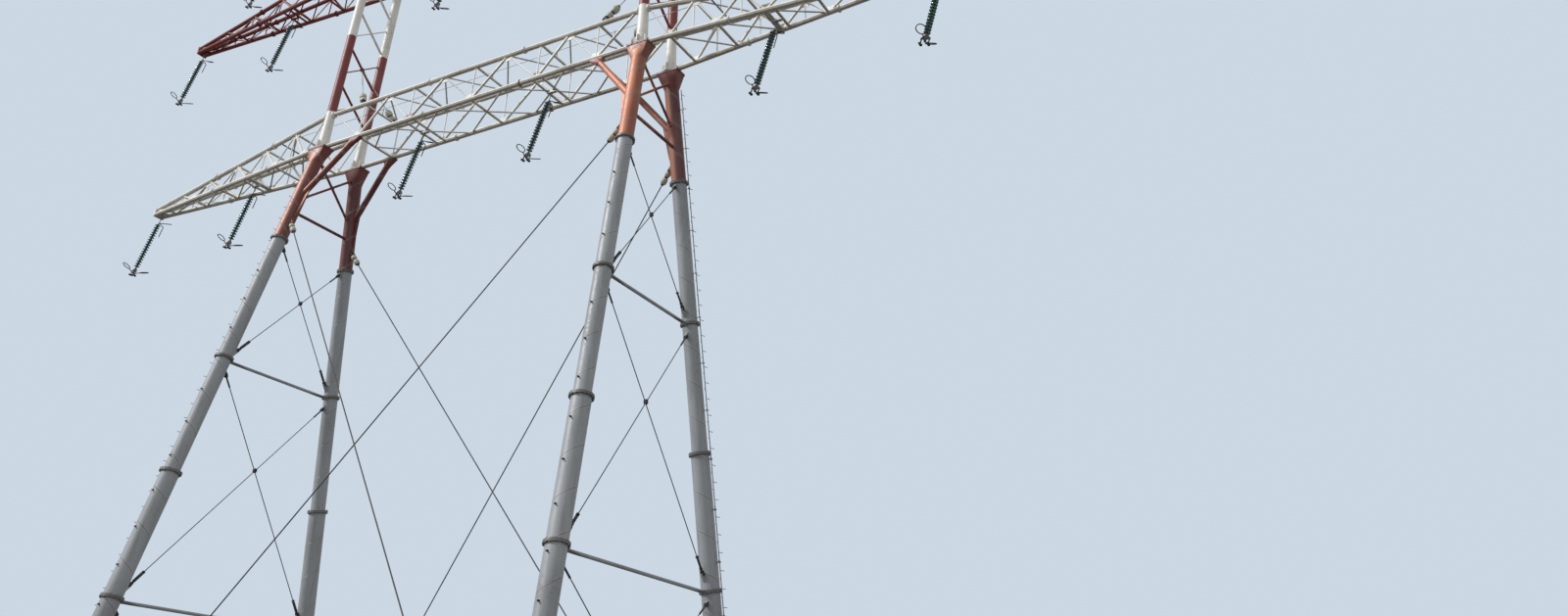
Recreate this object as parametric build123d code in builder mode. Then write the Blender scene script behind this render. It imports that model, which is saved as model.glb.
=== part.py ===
"""Four-legged portal transmission pylon in steel tube, at half scale.

Millimetres, +Z up. X runs along the crossarms, Y along the line.
The origin is on the ground, midway between the four feet.
"""
from build123d import *
from math import cos, pi, sin
from typing import NamedTuple
import os

# Legs: half spacings at the ground and under the lower crossarm
FOOT_X = 6550.0
FOOT_Y = 3750.0
HAUNCH_X = 5680.0
HAUNCH_Y = 690.0
COLUMN_TOP_X = 5500.0
COLUMN_TOP_Y = 640.0

# Levels of the crossarms, measured at their bottom chords
LOWER_Z = 19150.0
UPPER_Z = 25950.0
TOP_Z = 29500.0
CHORD_RISE = 1120.0
PEAK_RISE = 1500.0

# Reach of the crossarms from the tower's centre line
LOWER_TIP_X = 13900.0
UPPER_TIP_X = 14450.0
TOP_TIP_X = 12150.0
TIP_HALF_WIDTH = 110.0
TIP_RISE = 150.0
TIP_PLATE = 60.0

# Leg tubes, their ring flanges and their feet
LOWER_LEG_R = 216.0
UPPER_LEG_R = 191.0
FLANGE_LEVELS = (3200.0, 6170.0, 9140.0, 12220.0, 15900.0)
TAPER_LEVEL = 9140.0
FLANGE_LIP = 48.0
FLANGE_THICKNESS = 60.0
BASE_R = 400.0
BASE_THICKNESS = 50.0
BASE_BOLT_PCD = 660.0
BASE_BOLT_R = 22.0
BASE_BOLTS = 12
BASE_GUSSETS = 8
GUSSET_HEIGHT = 420.0
GUSSET_THICKNESS = 24.0

# Columns above the legs
COLUMN_R = 135.0
HAUNCH_HEIGHT = 480.0
HAUNCH_HALF_X = 320.0
HAUNCH_HALF_Y = 205.0
HAUNCH_MOUTH_INSET = 12.0
HAUNCH_LEDGE = 3.0
SADDLE_THICKNESS = 60.0
FUNNEL_R = 160.0
NODE_HALF = 165.0
NODE_HALF_HEIGHT = 105.0
BLOCK_OVERLAP = 60.0
COLUMN_CAP = 40.0

# Truss tubes
CHORD_R = 70.0
STRUT_R = 38.0
TIE_R = 20.0
BRACE_R = 24.0
COLUMN_BRACE_GAP = 160.0
PEAK_LEG_R = 57.0
BEAM_NODE_X = 4240.0
BEAM_MID_X = 2290.0
ARM_PANELS = 6
HANGER_SPREAD = 150.0
HANGER_HALF_WIDTH = 45.0

# Struts and braces between the legs
KNEE_R = 88.0
KNEE_Z = 17250.0
KNEE_FLARE = 260.0
KNEE_THROAT_R = 98.0
KNEE_HEAD_HALF_X = 220.0
KNEE_HEAD_HALF_Y = 78.0
KNEE_PLATE = 26.0
KNEE_PLATE_REACH = 640.0
KNEE_PLATE_FOOT_Z = 16620.0
SIDE_STRUT_R = 40.0
SIDE_TIE_R = 44.0
SIDE_CROSS_R = 36.0
SIDE_CROSS_TOP = 18790.0
SIDE_CROSS_BOTTOM = 17240.0
SIDE_TIE_LEVEL = 16850.0
FLANGE_DROP = 55.0
COLUMN_PANELS = 4

# Cables with their sockets
PORTAL_CABLE_R = 15.0
PORTAL_SOCKET_R = 38.0
PORTAL_SOCKET = 340.0
PORTAL_TOP_Z = 16650.0
PORTAL_FOOT_Z = 400.0
SIDE_CABLE_R = 11.0
SIDE_SOCKET_R = 22.0
SIDE_SOCKET = 340.0
SIDE_CABLE_FEET = (750.0, 6060.0, 12110.0)
SIDE_CABLE_TOPS = (6060.0, 12110.0, 15950.0)
CABLE_GAP = 5.0
LUG_CLEARANCE = 4.0
LUG_REACH = LOWER_LEG_R + FLANGE_LIP + LUG_CLEARANCE
PORTAL_LUG_WIDTH = 160.0
SIDE_LUG_WIDTH = 100.0
LUG_THICKNESS = 40.0

# Insulator strings
DISCS = 18
DISC_PITCH = 85.0
DISC_R = 88.0
DISC_HEIGHT = 34.0
DISC_CAP_R = 27.0
DISC_CAP_CHAMFER = 10.0
DISC_DISH = 12.0
DISC_RIM = 8.0
PIN_R = 17.0
HANGER_LENGTH = 260.0
SOCKET_LENGTH = 40.0
STRING_LEAN = 17.0
YOKE_HALF = 100.0
YOKE_HEIGHT = 250.0
YOKE_HEAD_HALF = 34.0
YOKE_PLATE = 130.0
YOKE_EDGE = 40.0
YOKE_THICKNESS = 16.0
STRAP_HALF = 14.0
CLAMP_BORE_R = 9.0
CLAMP_R = 26.0
CLAMP_LENGTH = 120.0
LOWER_STRINGS_X = (2290.0, 9270.0, 13690.0)
UPPER_STRINGS_X = (2290.0, 9700.0, 14240.0)
TOP_STRINGS_X = (0.0, 11940.0)

# Step rails
RAIL_OFFSET = 72.0
RAIL_START_Z = 620.0
RAIL_STOP_Z = 18500.0
RAIL_R = 12.0
RAIL_BRACKET_R = 9.0
RAIL_BRACKETS = 16

# Clearance where one piece seats on another
SEAT = 0.3

# How far a leg's section is drawn below the ground before it is trimmed
LEG_SPARE = 200.0

LEFT = -1
RIGHT = 1
FRONT = -1
BACK = 1
SIDES = (LEFT, RIGHT)
FACES = (FRONT, BACK)


class CableRun(NamedTuple):
    """A cable between the centre lines of two legs."""

    top: Vector
    foot: Vector
    top_leg: tuple
    foot_leg: tuple


def leg_point(side, face, level):
    """The leg's centre line at a level."""
    share = level / LOWER_Z
    x = FOOT_X + (HAUNCH_X - FOOT_X) * share
    y = FOOT_Y + (HAUNCH_Y - FOOT_Y) * share
    return Vector(side * x, face * y, level)


def column_point(side, face, level):
    """The column's centre line at a level."""
    share = (level - LOWER_Z) / (TOP_Z - LOWER_Z)
    x = HAUNCH_X + (COLUMN_TOP_X - HAUNCH_X) * share
    y = HAUNCH_Y + (COLUMN_TOP_Y - HAUNCH_Y) * share
    return Vector(side * x, face * y, level)


def along(start, end, distance):
    """The point at a distance from start towards end."""
    return start + (end - start).normalized() * distance


def upright_plane(start, path):
    """Plane across a bar whose own X axis points as far up as it can."""
    ahead = path.normalized()
    up = Vector(0, 0, 1) - ahead * ahead.Z
    return Plane(origin=start, x_dir=up if up.length > 0.01 else Vector(1, 0, 0), z_dir=ahead)


def add_bar(start, end, radius, sides=8, mode=Mode.ADD):
    """A straight bar with a many-sided section, one corner up."""
    path = end - start
    with BuildSketch(upright_plane(start, path)) as section:
        RegularPolygon(radius, sides)
    return extrude(section.sketch, amount=path.length, mode=mode)


def add_rod(start, end, radius, mode=Mode.ADD):
    """A straight round rod, added to the piece being made."""
    path = end - start
    with BuildSketch(Plane(origin=start, z_dir=path)) as section:
        Circle(radius)
    return extrude(section.sketch, amount=path.length, mode=mode)


def cut_around(start, end, radius):
    """Cope a seat with clearance around another member."""
    add_rod(start, end, radius + SEAT, mode=Mode.SUBTRACT)


def add_plate(corners, thickness):
    """A flat plate whose outline runs through three or more points."""
    first, second, third = corners[:3]
    ahead = second - first
    plane = Plane(origin=first, x_dir=ahead, z_dir=ahead.cross(third - first))
    flat = [plane.to_local_coords(corner) for corner in corners]
    with BuildSketch(plane) as outline:
        with BuildLine():
            Polyline(*[(corner.X, corner.Y) for corner in flat], close=True)
        make_face()
    extrude(outline.sketch, amount=thickness / 2, both=True)


def fuse_bars(bars):
    """Fuse a list of (start, end, radius, sides) bars in one go."""
    made = [add_bar(*bar, mode=Mode.PRIVATE) for bar in bars]
    add(made)


def save(piece, name):
    """Label a piece and write it as a STEP file."""
    piece.part.label = name
    export_step(piece.part, f"parts/{name}.step")


def side_name(side):
    """The word for a side of the tower."""
    return "left" if side == LEFT else "right"


def face_name(face):
    """The word for a face of the tower."""
    return "front" if face == FRONT else "back"


# Legs


def leg_profile():
    """Half section of a leg: radius against distance along the leg."""
    slope = (leg_point(LEFT, FRONT, LOWER_Z) - leg_point(LEFT, FRONT, 0)).length / LOWER_Z
    half = FLANGE_THICKNESS / 2
    points = [(0, -LEG_SPARE), (LOWER_LEG_R, -LEG_SPARE)]
    for level in FLANGE_LEVELS:
        centre = level * slope
        below = LOWER_LEG_R if level <= TAPER_LEVEL else UPPER_LEG_R
        above = LOWER_LEG_R if level < TAPER_LEVEL else UPPER_LEG_R
        lip = max(below, above) + FLANGE_LIP
        points += [(below, centre - half), (lip, centre - half)]
        points += [(lip, centre + half), (above, centre + half)]
    top = (LOWER_Z - CHORD_R - SADDLE_THICKNESS - HAUNCH_HEIGHT) * slope
    points += [(UPPER_LEG_R, top), (0, top)]
    return points


def add_base(foot):
    """Round base plate with its bolt holes."""
    with BuildSketch(Plane.XY) as plate:
        with Locations((foot.X, foot.Y)):
            Circle(BASE_R)
            with PolarLocations(BASE_BOLT_PCD / 2, BASE_BOLTS):
                Circle(BASE_BOLT_R, mode=Mode.SUBTRACT)
    extrude(plate.sketch, amount=BASE_THICKNESS)


def add_base_gussets(foot):
    """Upright triangular plates between the base plate and the tube."""
    for index in range(BASE_GUSSETS):
        turn = 2 * pi * (index + 0.5) / BASE_GUSSETS
        out = Vector(cos(turn), sin(turn), 0)
        plane = Plane(origin=foot, x_dir=out, z_dir=out.cross(Vector(0, 0, 1)))
        reach = BASE_R - FLANGE_LIP
        with BuildSketch(plane) as web:
            with BuildLine():
                Polyline(
                    (LOWER_LEG_R / 2, BASE_THICKNESS),
                    (reach, BASE_THICKNESS),
                    (LOWER_LEG_R, GUSSET_HEIGHT),
                    (LOWER_LEG_R / 2, GUSSET_HEIGHT),
                    close=True,
                )
            make_face()
        extrude(web.sketch, amount=GUSSET_THICKNESS / 2, both=True)


def add_haunch(side, face):
    """Flared head of a leg with the saddle plate under the bottom chord."""
    saddle_top = LOWER_Z - CHORD_R - SEAT
    flare_top = saddle_top - SADDLE_THICKNESS
    flare_foot = flare_top - HAUNCH_HEIGHT
    head = leg_point(side, face, flare_top)
    neck = leg_point(side, face, flare_foot)
    with BuildSketch(Plane(origin=neck, z_dir=head - neck)) as throat:
        Circle(UPPER_LEG_R - HAUNCH_LEDGE)
    width = 2 * (HAUNCH_HALF_X - HAUNCH_MOUTH_INSET)
    depth = 2 * (HAUNCH_HALF_Y - HAUNCH_MOUTH_INSET)
    with BuildSketch(Plane.XY.offset(flare_top)) as mouth:
        with Locations((head.X, head.Y)):
            Rectangle(width, depth)
    loft([throat.sketch, mouth.sketch])
    with BuildSketch(Plane.XY.offset(flare_top)) as saddle:
        with Locations((head.X, head.Y)):
            Rectangle(2 * HAUNCH_HALF_X, 2 * HAUNCH_HALF_Y)
    extrude(saddle.sketch, amount=SADDLE_THICKNESS)


def make_leg(side, face):
    """One leg from its base plate to its saddle plate."""
    foot = leg_point(side, face, 0)
    head = leg_point(side, face, LOWER_Z)
    direction = (head - foot).normalized()
    across = direction.cross(Vector(0, 1, 0)).normalized()
    with BuildPart() as leg:
        with BuildSketch(Plane(origin=foot, x_dir=across, z_dir=across.cross(direction))):
            with BuildLine():
                Polyline(*leg_profile(), close=True)
            make_face()
        revolve(axis=Axis(foot, direction))
        split(bisect_by=Plane.XY.offset(BASE_THICKNESS / 2), keep=Keep.TOP)
        add_base(foot)
        add_base_gussets(foot)
        add_haunch(side, face)
        for runs, width in ((portal_runs(), PORTAL_LUG_WIDTH), (side_runs(), SIDE_LUG_WIDTH)):
            for run in runs:
                if run.top_leg == (side, face):
                    add_lug(run.top, run.foot, width)
                if run.foot_leg == (side, face):
                    add_lug(run.foot, run.top, width)
    save(leg, f"leg_{side_name(side)}_{face_name(face)}")


# Columns


def chord_levels():
    """Levels where chords meet the columns."""
    return [z + rise for z in (LOWER_Z, UPPER_Z, TOP_Z) for rise in (0, CHORD_RISE)]


def make_column(side, face):
    """One column from the leg's saddle plate to above the top crossarm."""
    foot_z = LOWER_Z - CHORD_R
    head_z = TOP_Z + CHORD_RISE + NODE_HALF_HEIGHT + COLUMN_CAP
    start = column_point(side, face, foot_z - COLUMN_R)
    end = column_point(side, face, head_z + COLUMN_R)
    funnel_foot = column_point(side, face, LOWER_Z + NODE_HALF_HEIGHT / 2)
    funnel_top = column_point(side, face, LOWER_Z + CHORD_RISE)
    with BuildPart() as column:
        add_rod(start, end, COLUMN_R)
        with BuildSketch(Plane(origin=funnel_foot, z_dir=end - start)):
            Circle(FUNNEL_R)
        with BuildSketch(Plane(origin=funnel_top, z_dir=end - start)):
            Circle(COLUMN_R)
        loft()
        for level in chord_levels():
            with Locations(column_point(side, face, level)):
                Box(2 * NODE_HALF, 2 * NODE_HALF, 2 * NODE_HALF_HEIGHT)
        split(bisect_by=Plane.XY.offset(foot_z), keep=Keep.TOP)
        split(bisect_by=Plane.XY.offset(head_z), keep=Keep.BOTTOM)
    save(column, f"column_{side_name(side)}_{face_name(face)}")


def cut_block(side, face, level):
    """Clear the space of one node block on a column."""
    with Locations(column_point(side, face, level)):
        Box(
            2 * (NODE_HALF + SEAT),
            2 * (NODE_HALF + SEAT),
            2 * (NODE_HALF_HEIGHT + SEAT),
            mode=Mode.SUBTRACT,
        )


def cut_blocks(sides, bottom):
    """Cut a crossarm's chords back to the node blocks of the columns."""
    for side in sides:
        for face in FACES:
            for level in (bottom, bottom + CHORD_RISE):
                cut_block(side, face, level)


# Crossarm beams between the columns


def beam_end(face, level):
    """The right-hand end of a beam's chord, just inside the column's node block."""
    column = column_point(RIGHT, face, level)
    return Vector(column.X - NODE_HALF + BLOCK_OVERLAP, column.Y, level)


def beam_chord_point(face, level, x):
    """A point on a beam's chord."""
    return Vector(x, beam_end(face, level).Y, level)


def beam_top_nodes():
    """Places of the top chord's joints."""
    outer = (BEAM_NODE_X + BEAM_MID_X) / 2
    return [-outer, -BEAM_MID_X / 2, BEAM_MID_X / 2, outer]


def beam_bottom_nodes():
    """Places of the bottom chord's joints."""
    return [-BEAM_NODE_X, -BEAM_MID_X, 0, BEAM_MID_X, BEAM_NODE_X]


def make_beam_side(face, bottom, name):
    """A flat lattice side of a beam: two chords with struts, ties and posts."""
    top = bottom + CHORD_RISE
    bars = []
    for level in (bottom, top):
        end = beam_end(face, level)
        bars.append((Vector(-end.X, end.Y, level), end, CHORD_R, 8))
    low = [beam_chord_point(face, bottom, x) for x in beam_bottom_nodes()]
    high = [beam_chord_point(face, top, x) for x in beam_top_nodes()]
    reach = beam_end(face, top).X - BLOCK_OVERLAP - CHORD_R
    high = [Vector(-reach, high[0].Y, top)] + high + [Vector(reach, high[0].Y, top)]
    for index, node in enumerate(low):
        bars.append((node, high[index + 1], STRUT_R, 6))
        bars.append((node, high[index], TIE_R, 6))
        bars.append((node, Vector(node.X, high[0].Y, top), TIE_R, 6))
    with BuildPart() as truss:
        fuse_bars(bars)
        cut_blocks(SIDES, bottom)
    save(truss, name)


def add_hanger(x, bottom):
    """Plate under a pair of cross-beams, from which a string hangs."""
    with Locations(Vector(x, 0, bottom - CHORD_R / 2)):
        Box(2 * HANGER_SPREAD, 2 * HANGER_HALF_WIDTH, CHORD_R)


def beam_floor_bars(bottom, hanging):
    """Cross-beams and diamond bracing between a beam's bottom chords."""
    edge = abs(beam_end(FRONT, bottom).Y)
    bars = []
    nodes = beam_bottom_nodes()
    for x in nodes:
        for shift in (-HANGER_SPREAD, HANGER_SPREAD) if abs(x) in hanging else (0,):
            ends = [Vector(x + shift, face * edge, bottom) for face in FACES]
            bars.append((*ends, STRUT_R, 6))
    for first, second in zip(nodes, nodes[1:]):
        for face in FACES:
            joint = Vector((first + second) / 2, face * edge, bottom)
            bars.append((Vector(first, 0, bottom), joint, BRACE_R, 6))
            bars.append((joint, Vector(second, 0, bottom), BRACE_R, 6))
    return bars


def beam_roof_bars(top):
    """Cross-struts and diagonals between a beam's top chords."""
    edge = abs(beam_end(FRONT, top).Y)
    bars = []
    for x in beam_bottom_nodes():
        bars.append((Vector(x, -edge, top), Vector(x, edge, top), STRUT_R, 6))
    joints = sorted(beam_bottom_nodes() + beam_top_nodes())
    for index, (first, second) in enumerate(zip(joints, joints[1:])):
        face = FRONT if index % 2 else BACK
        ends = (Vector(first, face * edge, top), Vector(second, -face * edge, top))
        bars.append((*ends, BRACE_R, 6))
    return bars


def make_beam_bracing(bottom, name, hanging):
    """Floor and roof bracing of a beam, which joins its two sides."""
    top = bottom + CHORD_RISE
    with BuildPart() as bracing:
        fuse_bars(beam_floor_bars(bottom, hanging))
        fuse_bars(beam_roof_bars(top))
        for x in hanging:
            for way in SIDES:
                if x <= BEAM_NODE_X:
                    add_hanger(way * x, bottom)
        for face in FACES:
            for level in (bottom, top):
                end = beam_end(face, level)
                cut_around(Vector(-end.X, end.Y, level), end, CHORD_R)
    save(bracing, name)


# Cantilever arms outside the columns


def arm_point(side, face, bottom, tip_x, share, high):
    """A point on an arm's chord, from the column at share 0 to the tip at 1."""
    root = column_point(RIGHT, BACK, bottom + CHORD_RISE if high else bottom)
    start_x = root.X + NODE_HALF
    x = start_x + (tip_x - start_x) * share
    y = root.Y + (TIP_HALF_WIDTH - root.Y) * share
    rise = CHORD_RISE + (TIP_RISE - CHORD_RISE) * share if high else 0
    return Vector(side * x, face * y, bottom + rise)


def arm_joints():
    """Shares of an arm's length at its top joints, then at its bottom joints."""
    high = [index / ARM_PANELS for index in range(ARM_PANELS + 1)]
    low = [(first + second) / 2 for first, second in zip(high, high[1:])]
    return high, low


def arm_side_bars(side, face, bottom, tip_x):
    """Chords, struts, ties and posts in one flat side of an arm."""

    def point(share, high):
        return arm_point(side, face, bottom, tip_x, share, high)

    high_joints, low_joints = arm_joints()
    bars = []
    for high in (False, True):
        bars.append((point(-BLOCK_OVERLAP / tip_x, high), point(1, high), CHORD_R, 8))
    for first, middle, second in zip(high_joints, low_joints, high_joints[1:]):
        bars.append((point(first, True), point(middle, False), TIE_R, 6))
        bars.append((point(middle, False), point(second, True), STRUT_R, 6))
    for share in high_joints[1:-1]:
        bars.append((point(share, True), point(share, False), TIE_R, 6))
    return bars


def arm_cross_bars(side, bottom, tip_x, carried):
    """Cross-beams and diagonals in the floor and roof of an arm."""

    def point(face, share, high):
        return arm_point(side, face, bottom, tip_x, share, high)

    high_joints, low_joints = arm_joints()
    bars = []
    for joints, high in ((low_joints, False), (high_joints[1:-1], True)):
        for share in joints:
            bars.append((point(FRONT, share, high), point(BACK, share, high), STRUT_R, 6))
        for first, second in zip(joints, joints[1:]):
            bars.append((point(FRONT, first, high), point(BACK, second, high), BRACE_R, 6))
    root_x = abs(point(FRONT, 0, False).X)
    for string_x in carried:
        for shift in (-HANGER_SPREAD, HANGER_SPREAD):
            share = (string_x + shift - root_x) / (tip_x - root_x)
            bars.append((point(FRONT, share, False), point(BACK, share, False), STRUT_R, 6))
    return bars


def make_arm(side, bottom, tip_x, strings_x, name):
    """One cantilever arm: two flat sides, their cross bracing and a tip plate."""
    carried = [x for x in strings_x if x > HAUNCH_X]
    tip_face = tip_x - TIP_PLATE / 2 - SEAT
    with BuildPart() as arm:
        fuse_bars(arm_cross_bars(side, bottom, tip_x, carried))
        for x in carried:
            add_hanger(side * x, bottom)
        for face in FACES:
            for high in (False, True):
                cut_around(
                    arm_point(side, face, bottom, tip_x, 0, high),
                    arm_point(side, face, bottom, tip_x, 1, high),
                    CHORD_R,
                )
        for face in FACES:
            fuse_bars(arm_side_bars(side, face, bottom, tip_x))
        inner = Keep.TOP if side == LEFT else Keep.BOTTOM
        split(bisect_by=Plane.YZ.offset(side * tip_face), keep=inner)
        with Locations(Vector(side * tip_x, 0, bottom + TIP_RISE / 2)):
            Box(TIP_PLATE, 2 * (TIP_HALF_WIDTH + CHORD_R), TIP_RISE + 2 * CHORD_R)
        cut_blocks([side], bottom)
    save(arm, name)


# Struts between the legs


def add_knee_head(node, foot):
    """Spreading head of a knee strut under the beam's chord."""
    seat_z = LOWER_Z - CHORD_R - SEAT
    throat_at = along(node, foot, CHORD_R + KNEE_FLARE)
    head_at = along(node, foot, (LOWER_Z - seat_z) / (foot - node).normalized().Z * -1)
    with BuildSketch(upright_plane(throat_at, node - foot)) as throat:
        RegularPolygon(KNEE_THROAT_R, 12)
    with BuildSketch(Plane.XY.offset(seat_z)) as head:
        with Locations((head_at.X, head_at.Y)):
            Rectangle(2 * KNEE_HEAD_HALF_X, 2 * KNEE_HEAD_HALF_Y)
    loft([throat.sketch, head.sketch])


def add_knee_plate(side, face, node, foot):
    """Plate that fills the corner between a knee strut and its leg."""
    low = leg_point(side, face, KNEE_PLATE_FOOT_Z)
    edge = low - Vector(side * (UPPER_LEG_R + LUG_THICKNESS), 0, 0)
    add_plate([foot, along(foot, node, KNEE_PLATE_REACH), edge, low], KNEE_PLATE)


def make_knee_struts():
    """Four struts from the lower beam's end joints down to the legs."""
    with BuildPart() as knees:
        for side in SIDES:
            for face in FACES:
                node = Vector(side * BEAM_NODE_X, face * HAUNCH_Y, LOWER_Z)
                foot = leg_point(side, face, KNEE_Z)
                add_bar(node, foot, KNEE_R, 12)
                add_knee_head(node, foot)
                add_knee_plate(side, face, node, foot)
        for side in SIDES:
            for face in FACES:
                shoulder = leg_point(side, face, TAPER_LEVEL)
                cut_around(shoulder, leg_point(side, face, LOWER_Z), UPPER_LEG_R)
        split(bisect_by=Plane.XY.offset(LOWER_Z - CHORD_R - SEAT), keep=Keep.BOTTOM)
    save(knees, "knee_struts")


def make_side_struts(side):
    """Tubes between the two legs of one side."""
    with BuildPart() as struts:
        for level in (FLANGE_LEVELS[1], FLANGE_LEVELS[3]):
            low = level - FLANGE_DROP
            add_bar(leg_point(side, FRONT, low), leg_point(side, BACK, low), SIDE_STRUT_R, 10)
        add_bar(
            leg_point(side, FRONT, SIDE_TIE_LEVEL),
            leg_point(side, BACK, SIDE_TIE_LEVEL),
            SIDE_TIE_R,
            8,
        )
        for face in FACES:
            add_bar(
                leg_point(side, face, SIDE_CROSS_TOP),
                leg_point(side, -face, SIDE_CROSS_BOTTOM),
                SIDE_CROSS_R,
                8,
            )
        for level in FLANGE_LEVELS[1:4:2]:
            half = FLANGE_THICKNESS / 2
            radius = (LOWER_LEG_R if level <= TAPER_LEVEL else UPPER_LEG_R) + FLANGE_LIP
            for face in FACES:
                low = leg_point(side, face, level - half)
                cut_around(low, leg_point(side, face, level + half), radius)
        for face in FACES:
            flare = leg_point(side, face, LOWER_Z - HAUNCH_HEIGHT - CHORD_R - SADDLE_THICKNESS)
            cut_around(leg_point(side, face, 0), leg_point(side, face, TAPER_LEVEL), LOWER_LEG_R)
            cut_around(leg_point(side, face, TAPER_LEVEL), flare, UPPER_LEG_R)
            cut_around(flare, leg_point(side, face, LOWER_Z), HAUNCH_HALF_Y)
    save(struts, f"side_struts_{side_name(side)}")


def column_panel_levels():
    """Levels between which the columns are cross-braced."""
    levels = []
    for start, end, panels in (
        (LOWER_Z + CHORD_RISE, UPPER_Z, COLUMN_PANELS),
        (UPPER_Z + CHORD_RISE, TOP_Z, COLUMN_PANELS // 2),
    ):
        step = (end - start) / panels
        levels += [(start + step * index, start + step * (index + 1)) for index in range(panels)]
    return levels


def make_column_braces(side):
    """Zigzag of tubes and rods between the two columns of one side."""
    with BuildPart() as braces:
        for low, high in column_panel_levels():
            front_top = column_point(side, FRONT, high - COLUMN_BRACE_GAP)
            back_foot = column_point(side, BACK, low + COLUMN_BRACE_GAP)
            front_foot = column_point(side, FRONT, low + COLUMN_BRACE_GAP)
            back_top = column_point(side, BACK, high - COLUMN_BRACE_GAP)
            fuse_bars([(front_top, back_foot, STRUT_R, 6), (front_foot, back_top, TIE_R, 6)])
        for face in FACES:
            cut_around(
                column_point(side, face, LOWER_Z),
                column_point(side, face, TOP_Z + CHORD_RISE),
                COLUMN_R,
            )
            for level in chord_levels():
                cut_block(side, face, level)
    save(braces, f"column_braces_{side_name(side)}")


# Cables


def portal_runs():
    """The four long cables of the portal crosses, two in each face."""
    runs = []
    for face in FACES:
        for high_side in SIDES:
            aside = Vector(0, high_side * (PORTAL_CABLE_R + CABLE_GAP), 0)
            top = leg_point(high_side, face, PORTAL_TOP_Z) + aside
            foot = leg_point(-high_side, face, PORTAL_FOOT_Z) + aside
            runs.append(CableRun(top, foot, (high_side, face), (-high_side, face)))
    return runs


def side_runs():
    """The crossed cables in the three bays between the legs of each side."""
    runs = []
    for side in SIDES:
        for low, high in zip(SIDE_CABLE_FEET, SIDE_CABLE_TOPS):
            for face in FACES:
                aside = Vector(face * (SIDE_CABLE_R + CABLE_GAP), 0, 0)
                top = leg_point(side, face, high) + aside
                foot = leg_point(side, -face, low) + aside
                runs.append(CableRun(top, foot, (side, face), (side, -face)))
    return runs


def lug_length(start, end):
    """How far a lug runs along its cable before it clears the leg's flanges."""
    side = LEFT if start.X < 0 else RIGHT
    face = FRONT if start.Y < 0 else BACK
    leg = (leg_point(side, face, LOWER_Z) - leg_point(side, face, 0)).normalized()
    return LUG_REACH / leg.cross((end - start).normalized()).length


def add_lug(start, end, width):
    """Flat lug on a leg, pointing along a cable."""
    path = (end - start).normalized()
    across = path.cross(Vector(0, 0, 1))
    with BuildSketch(Plane(origin=start, x_dir=across, z_dir=path)) as section:
        Rectangle(LUG_THICKNESS, width)
    extrude(section.sketch, amount=lug_length(start, end))


def add_cable(run, cable_r, socket_r, socket):
    """A taut cable with a socket at each end, between its two lugs."""
    start = along(run.top, run.foot, lug_length(run.top, run.foot) + SEAT)
    end = along(run.foot, run.top, lug_length(run.foot, run.top) + SEAT)
    add_rod(start, end, cable_r)
    add_rod(start, along(start, end, socket), socket_r)
    add_rod(end, along(end, start, socket), socket_r)


def make_portal_cable(run):
    """One long cable of a portal cross."""
    side, face = run.top_leg
    with BuildPart() as cable:
        add_cable(run, PORTAL_CABLE_R, PORTAL_SOCKET_R, PORTAL_SOCKET)
    save(cable, f"portal_cable_{face_name(face)}_{side_name(side)}")


def make_side_cables(side):
    """The six crossed cables of one side."""
    with BuildPart() as cables:
        for run in side_runs():
            if run.top_leg[0] == side:
                add_cable(run, SIDE_CABLE_R, SIDE_SOCKET_R, SIDE_SOCKET)
    save(cables, f"side_cables_{side_name(side)}")


# Insulator strings


def string_profile():
    """Half section of a string of glass discs, hanging down from 0."""
    points = [(0, 0), (PIN_R, 0)]
    for index in range(DISCS):
        top = -HANGER_LENGTH - index * DISC_PITCH
        low = top - DISC_PITCH
        points += [(PIN_R, top), (DISC_CAP_R, top - DISC_CAP_CHAMFER)]
        points += [(DISC_CAP_R, low + DISC_HEIGHT + DISC_CAP_CHAMFER), (DISC_R, low + DISC_DISH)]
        points += [(DISC_R, low + DISC_DISH - DISC_RIM), (PIN_R, low + DISC_RIM)]
    foot = -HANGER_LENGTH - DISCS * DISC_PITCH - SOCKET_LENGTH
    points += [(PIN_R, foot), (0, foot)]
    return points


def string_plane(x, hang_z):
    """Frame of a leaning string: its own Y axis points up along the string."""
    lean = STRING_LEAN * pi / 180
    up = Vector(sin(lean), 0, cos(lean))
    aside = Vector(cos(lean), 0, -sin(lean))
    return Plane(origin=(x, 0, hang_z), x_dir=aside, z_dir=aside.cross(up))


def make_strings(places, hang_z, name):
    """The glass strings of one crossarm."""
    with BuildPart() as strings:
        for x in places:
            plane = string_plane(x, hang_z)
            with BuildSketch(plane):
                with BuildLine():
                    Polyline(*string_profile(), close=True)
                make_face()
            revolve(axis=Axis(plane.origin, plane.y_dir))
    save(strings, name)


def add_yoke_plate(frame, drop):
    """Yoke plate whose two straps reach down to the clamps."""
    low = drop + YOKE_PLATE
    half = YOKE_HALF + CLAMP_R
    with BuildSketch(frame.offset(-YOKE_THICKNESS / 2)) as plate:
        with BuildLine():
            Polyline(
                (-YOKE_HEAD_HALF, -drop),
                (YOKE_HEAD_HALF, -drop),
                (half, -low + YOKE_EDGE),
                (half, -low),
                (-half, -low),
                (-half, -low + YOKE_EDGE),
                close=True,
            )
        make_face()
        strap = drop + YOKE_HEIGHT - low
        with Locations(*[(way * YOKE_HALF, -low - strap / 2) for way in SIDES]):
            Rectangle(2 * STRAP_HALF, strap + YOKE_EDGE)
    extrude(plate.sketch, amount=YOKE_THICKNESS)


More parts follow.
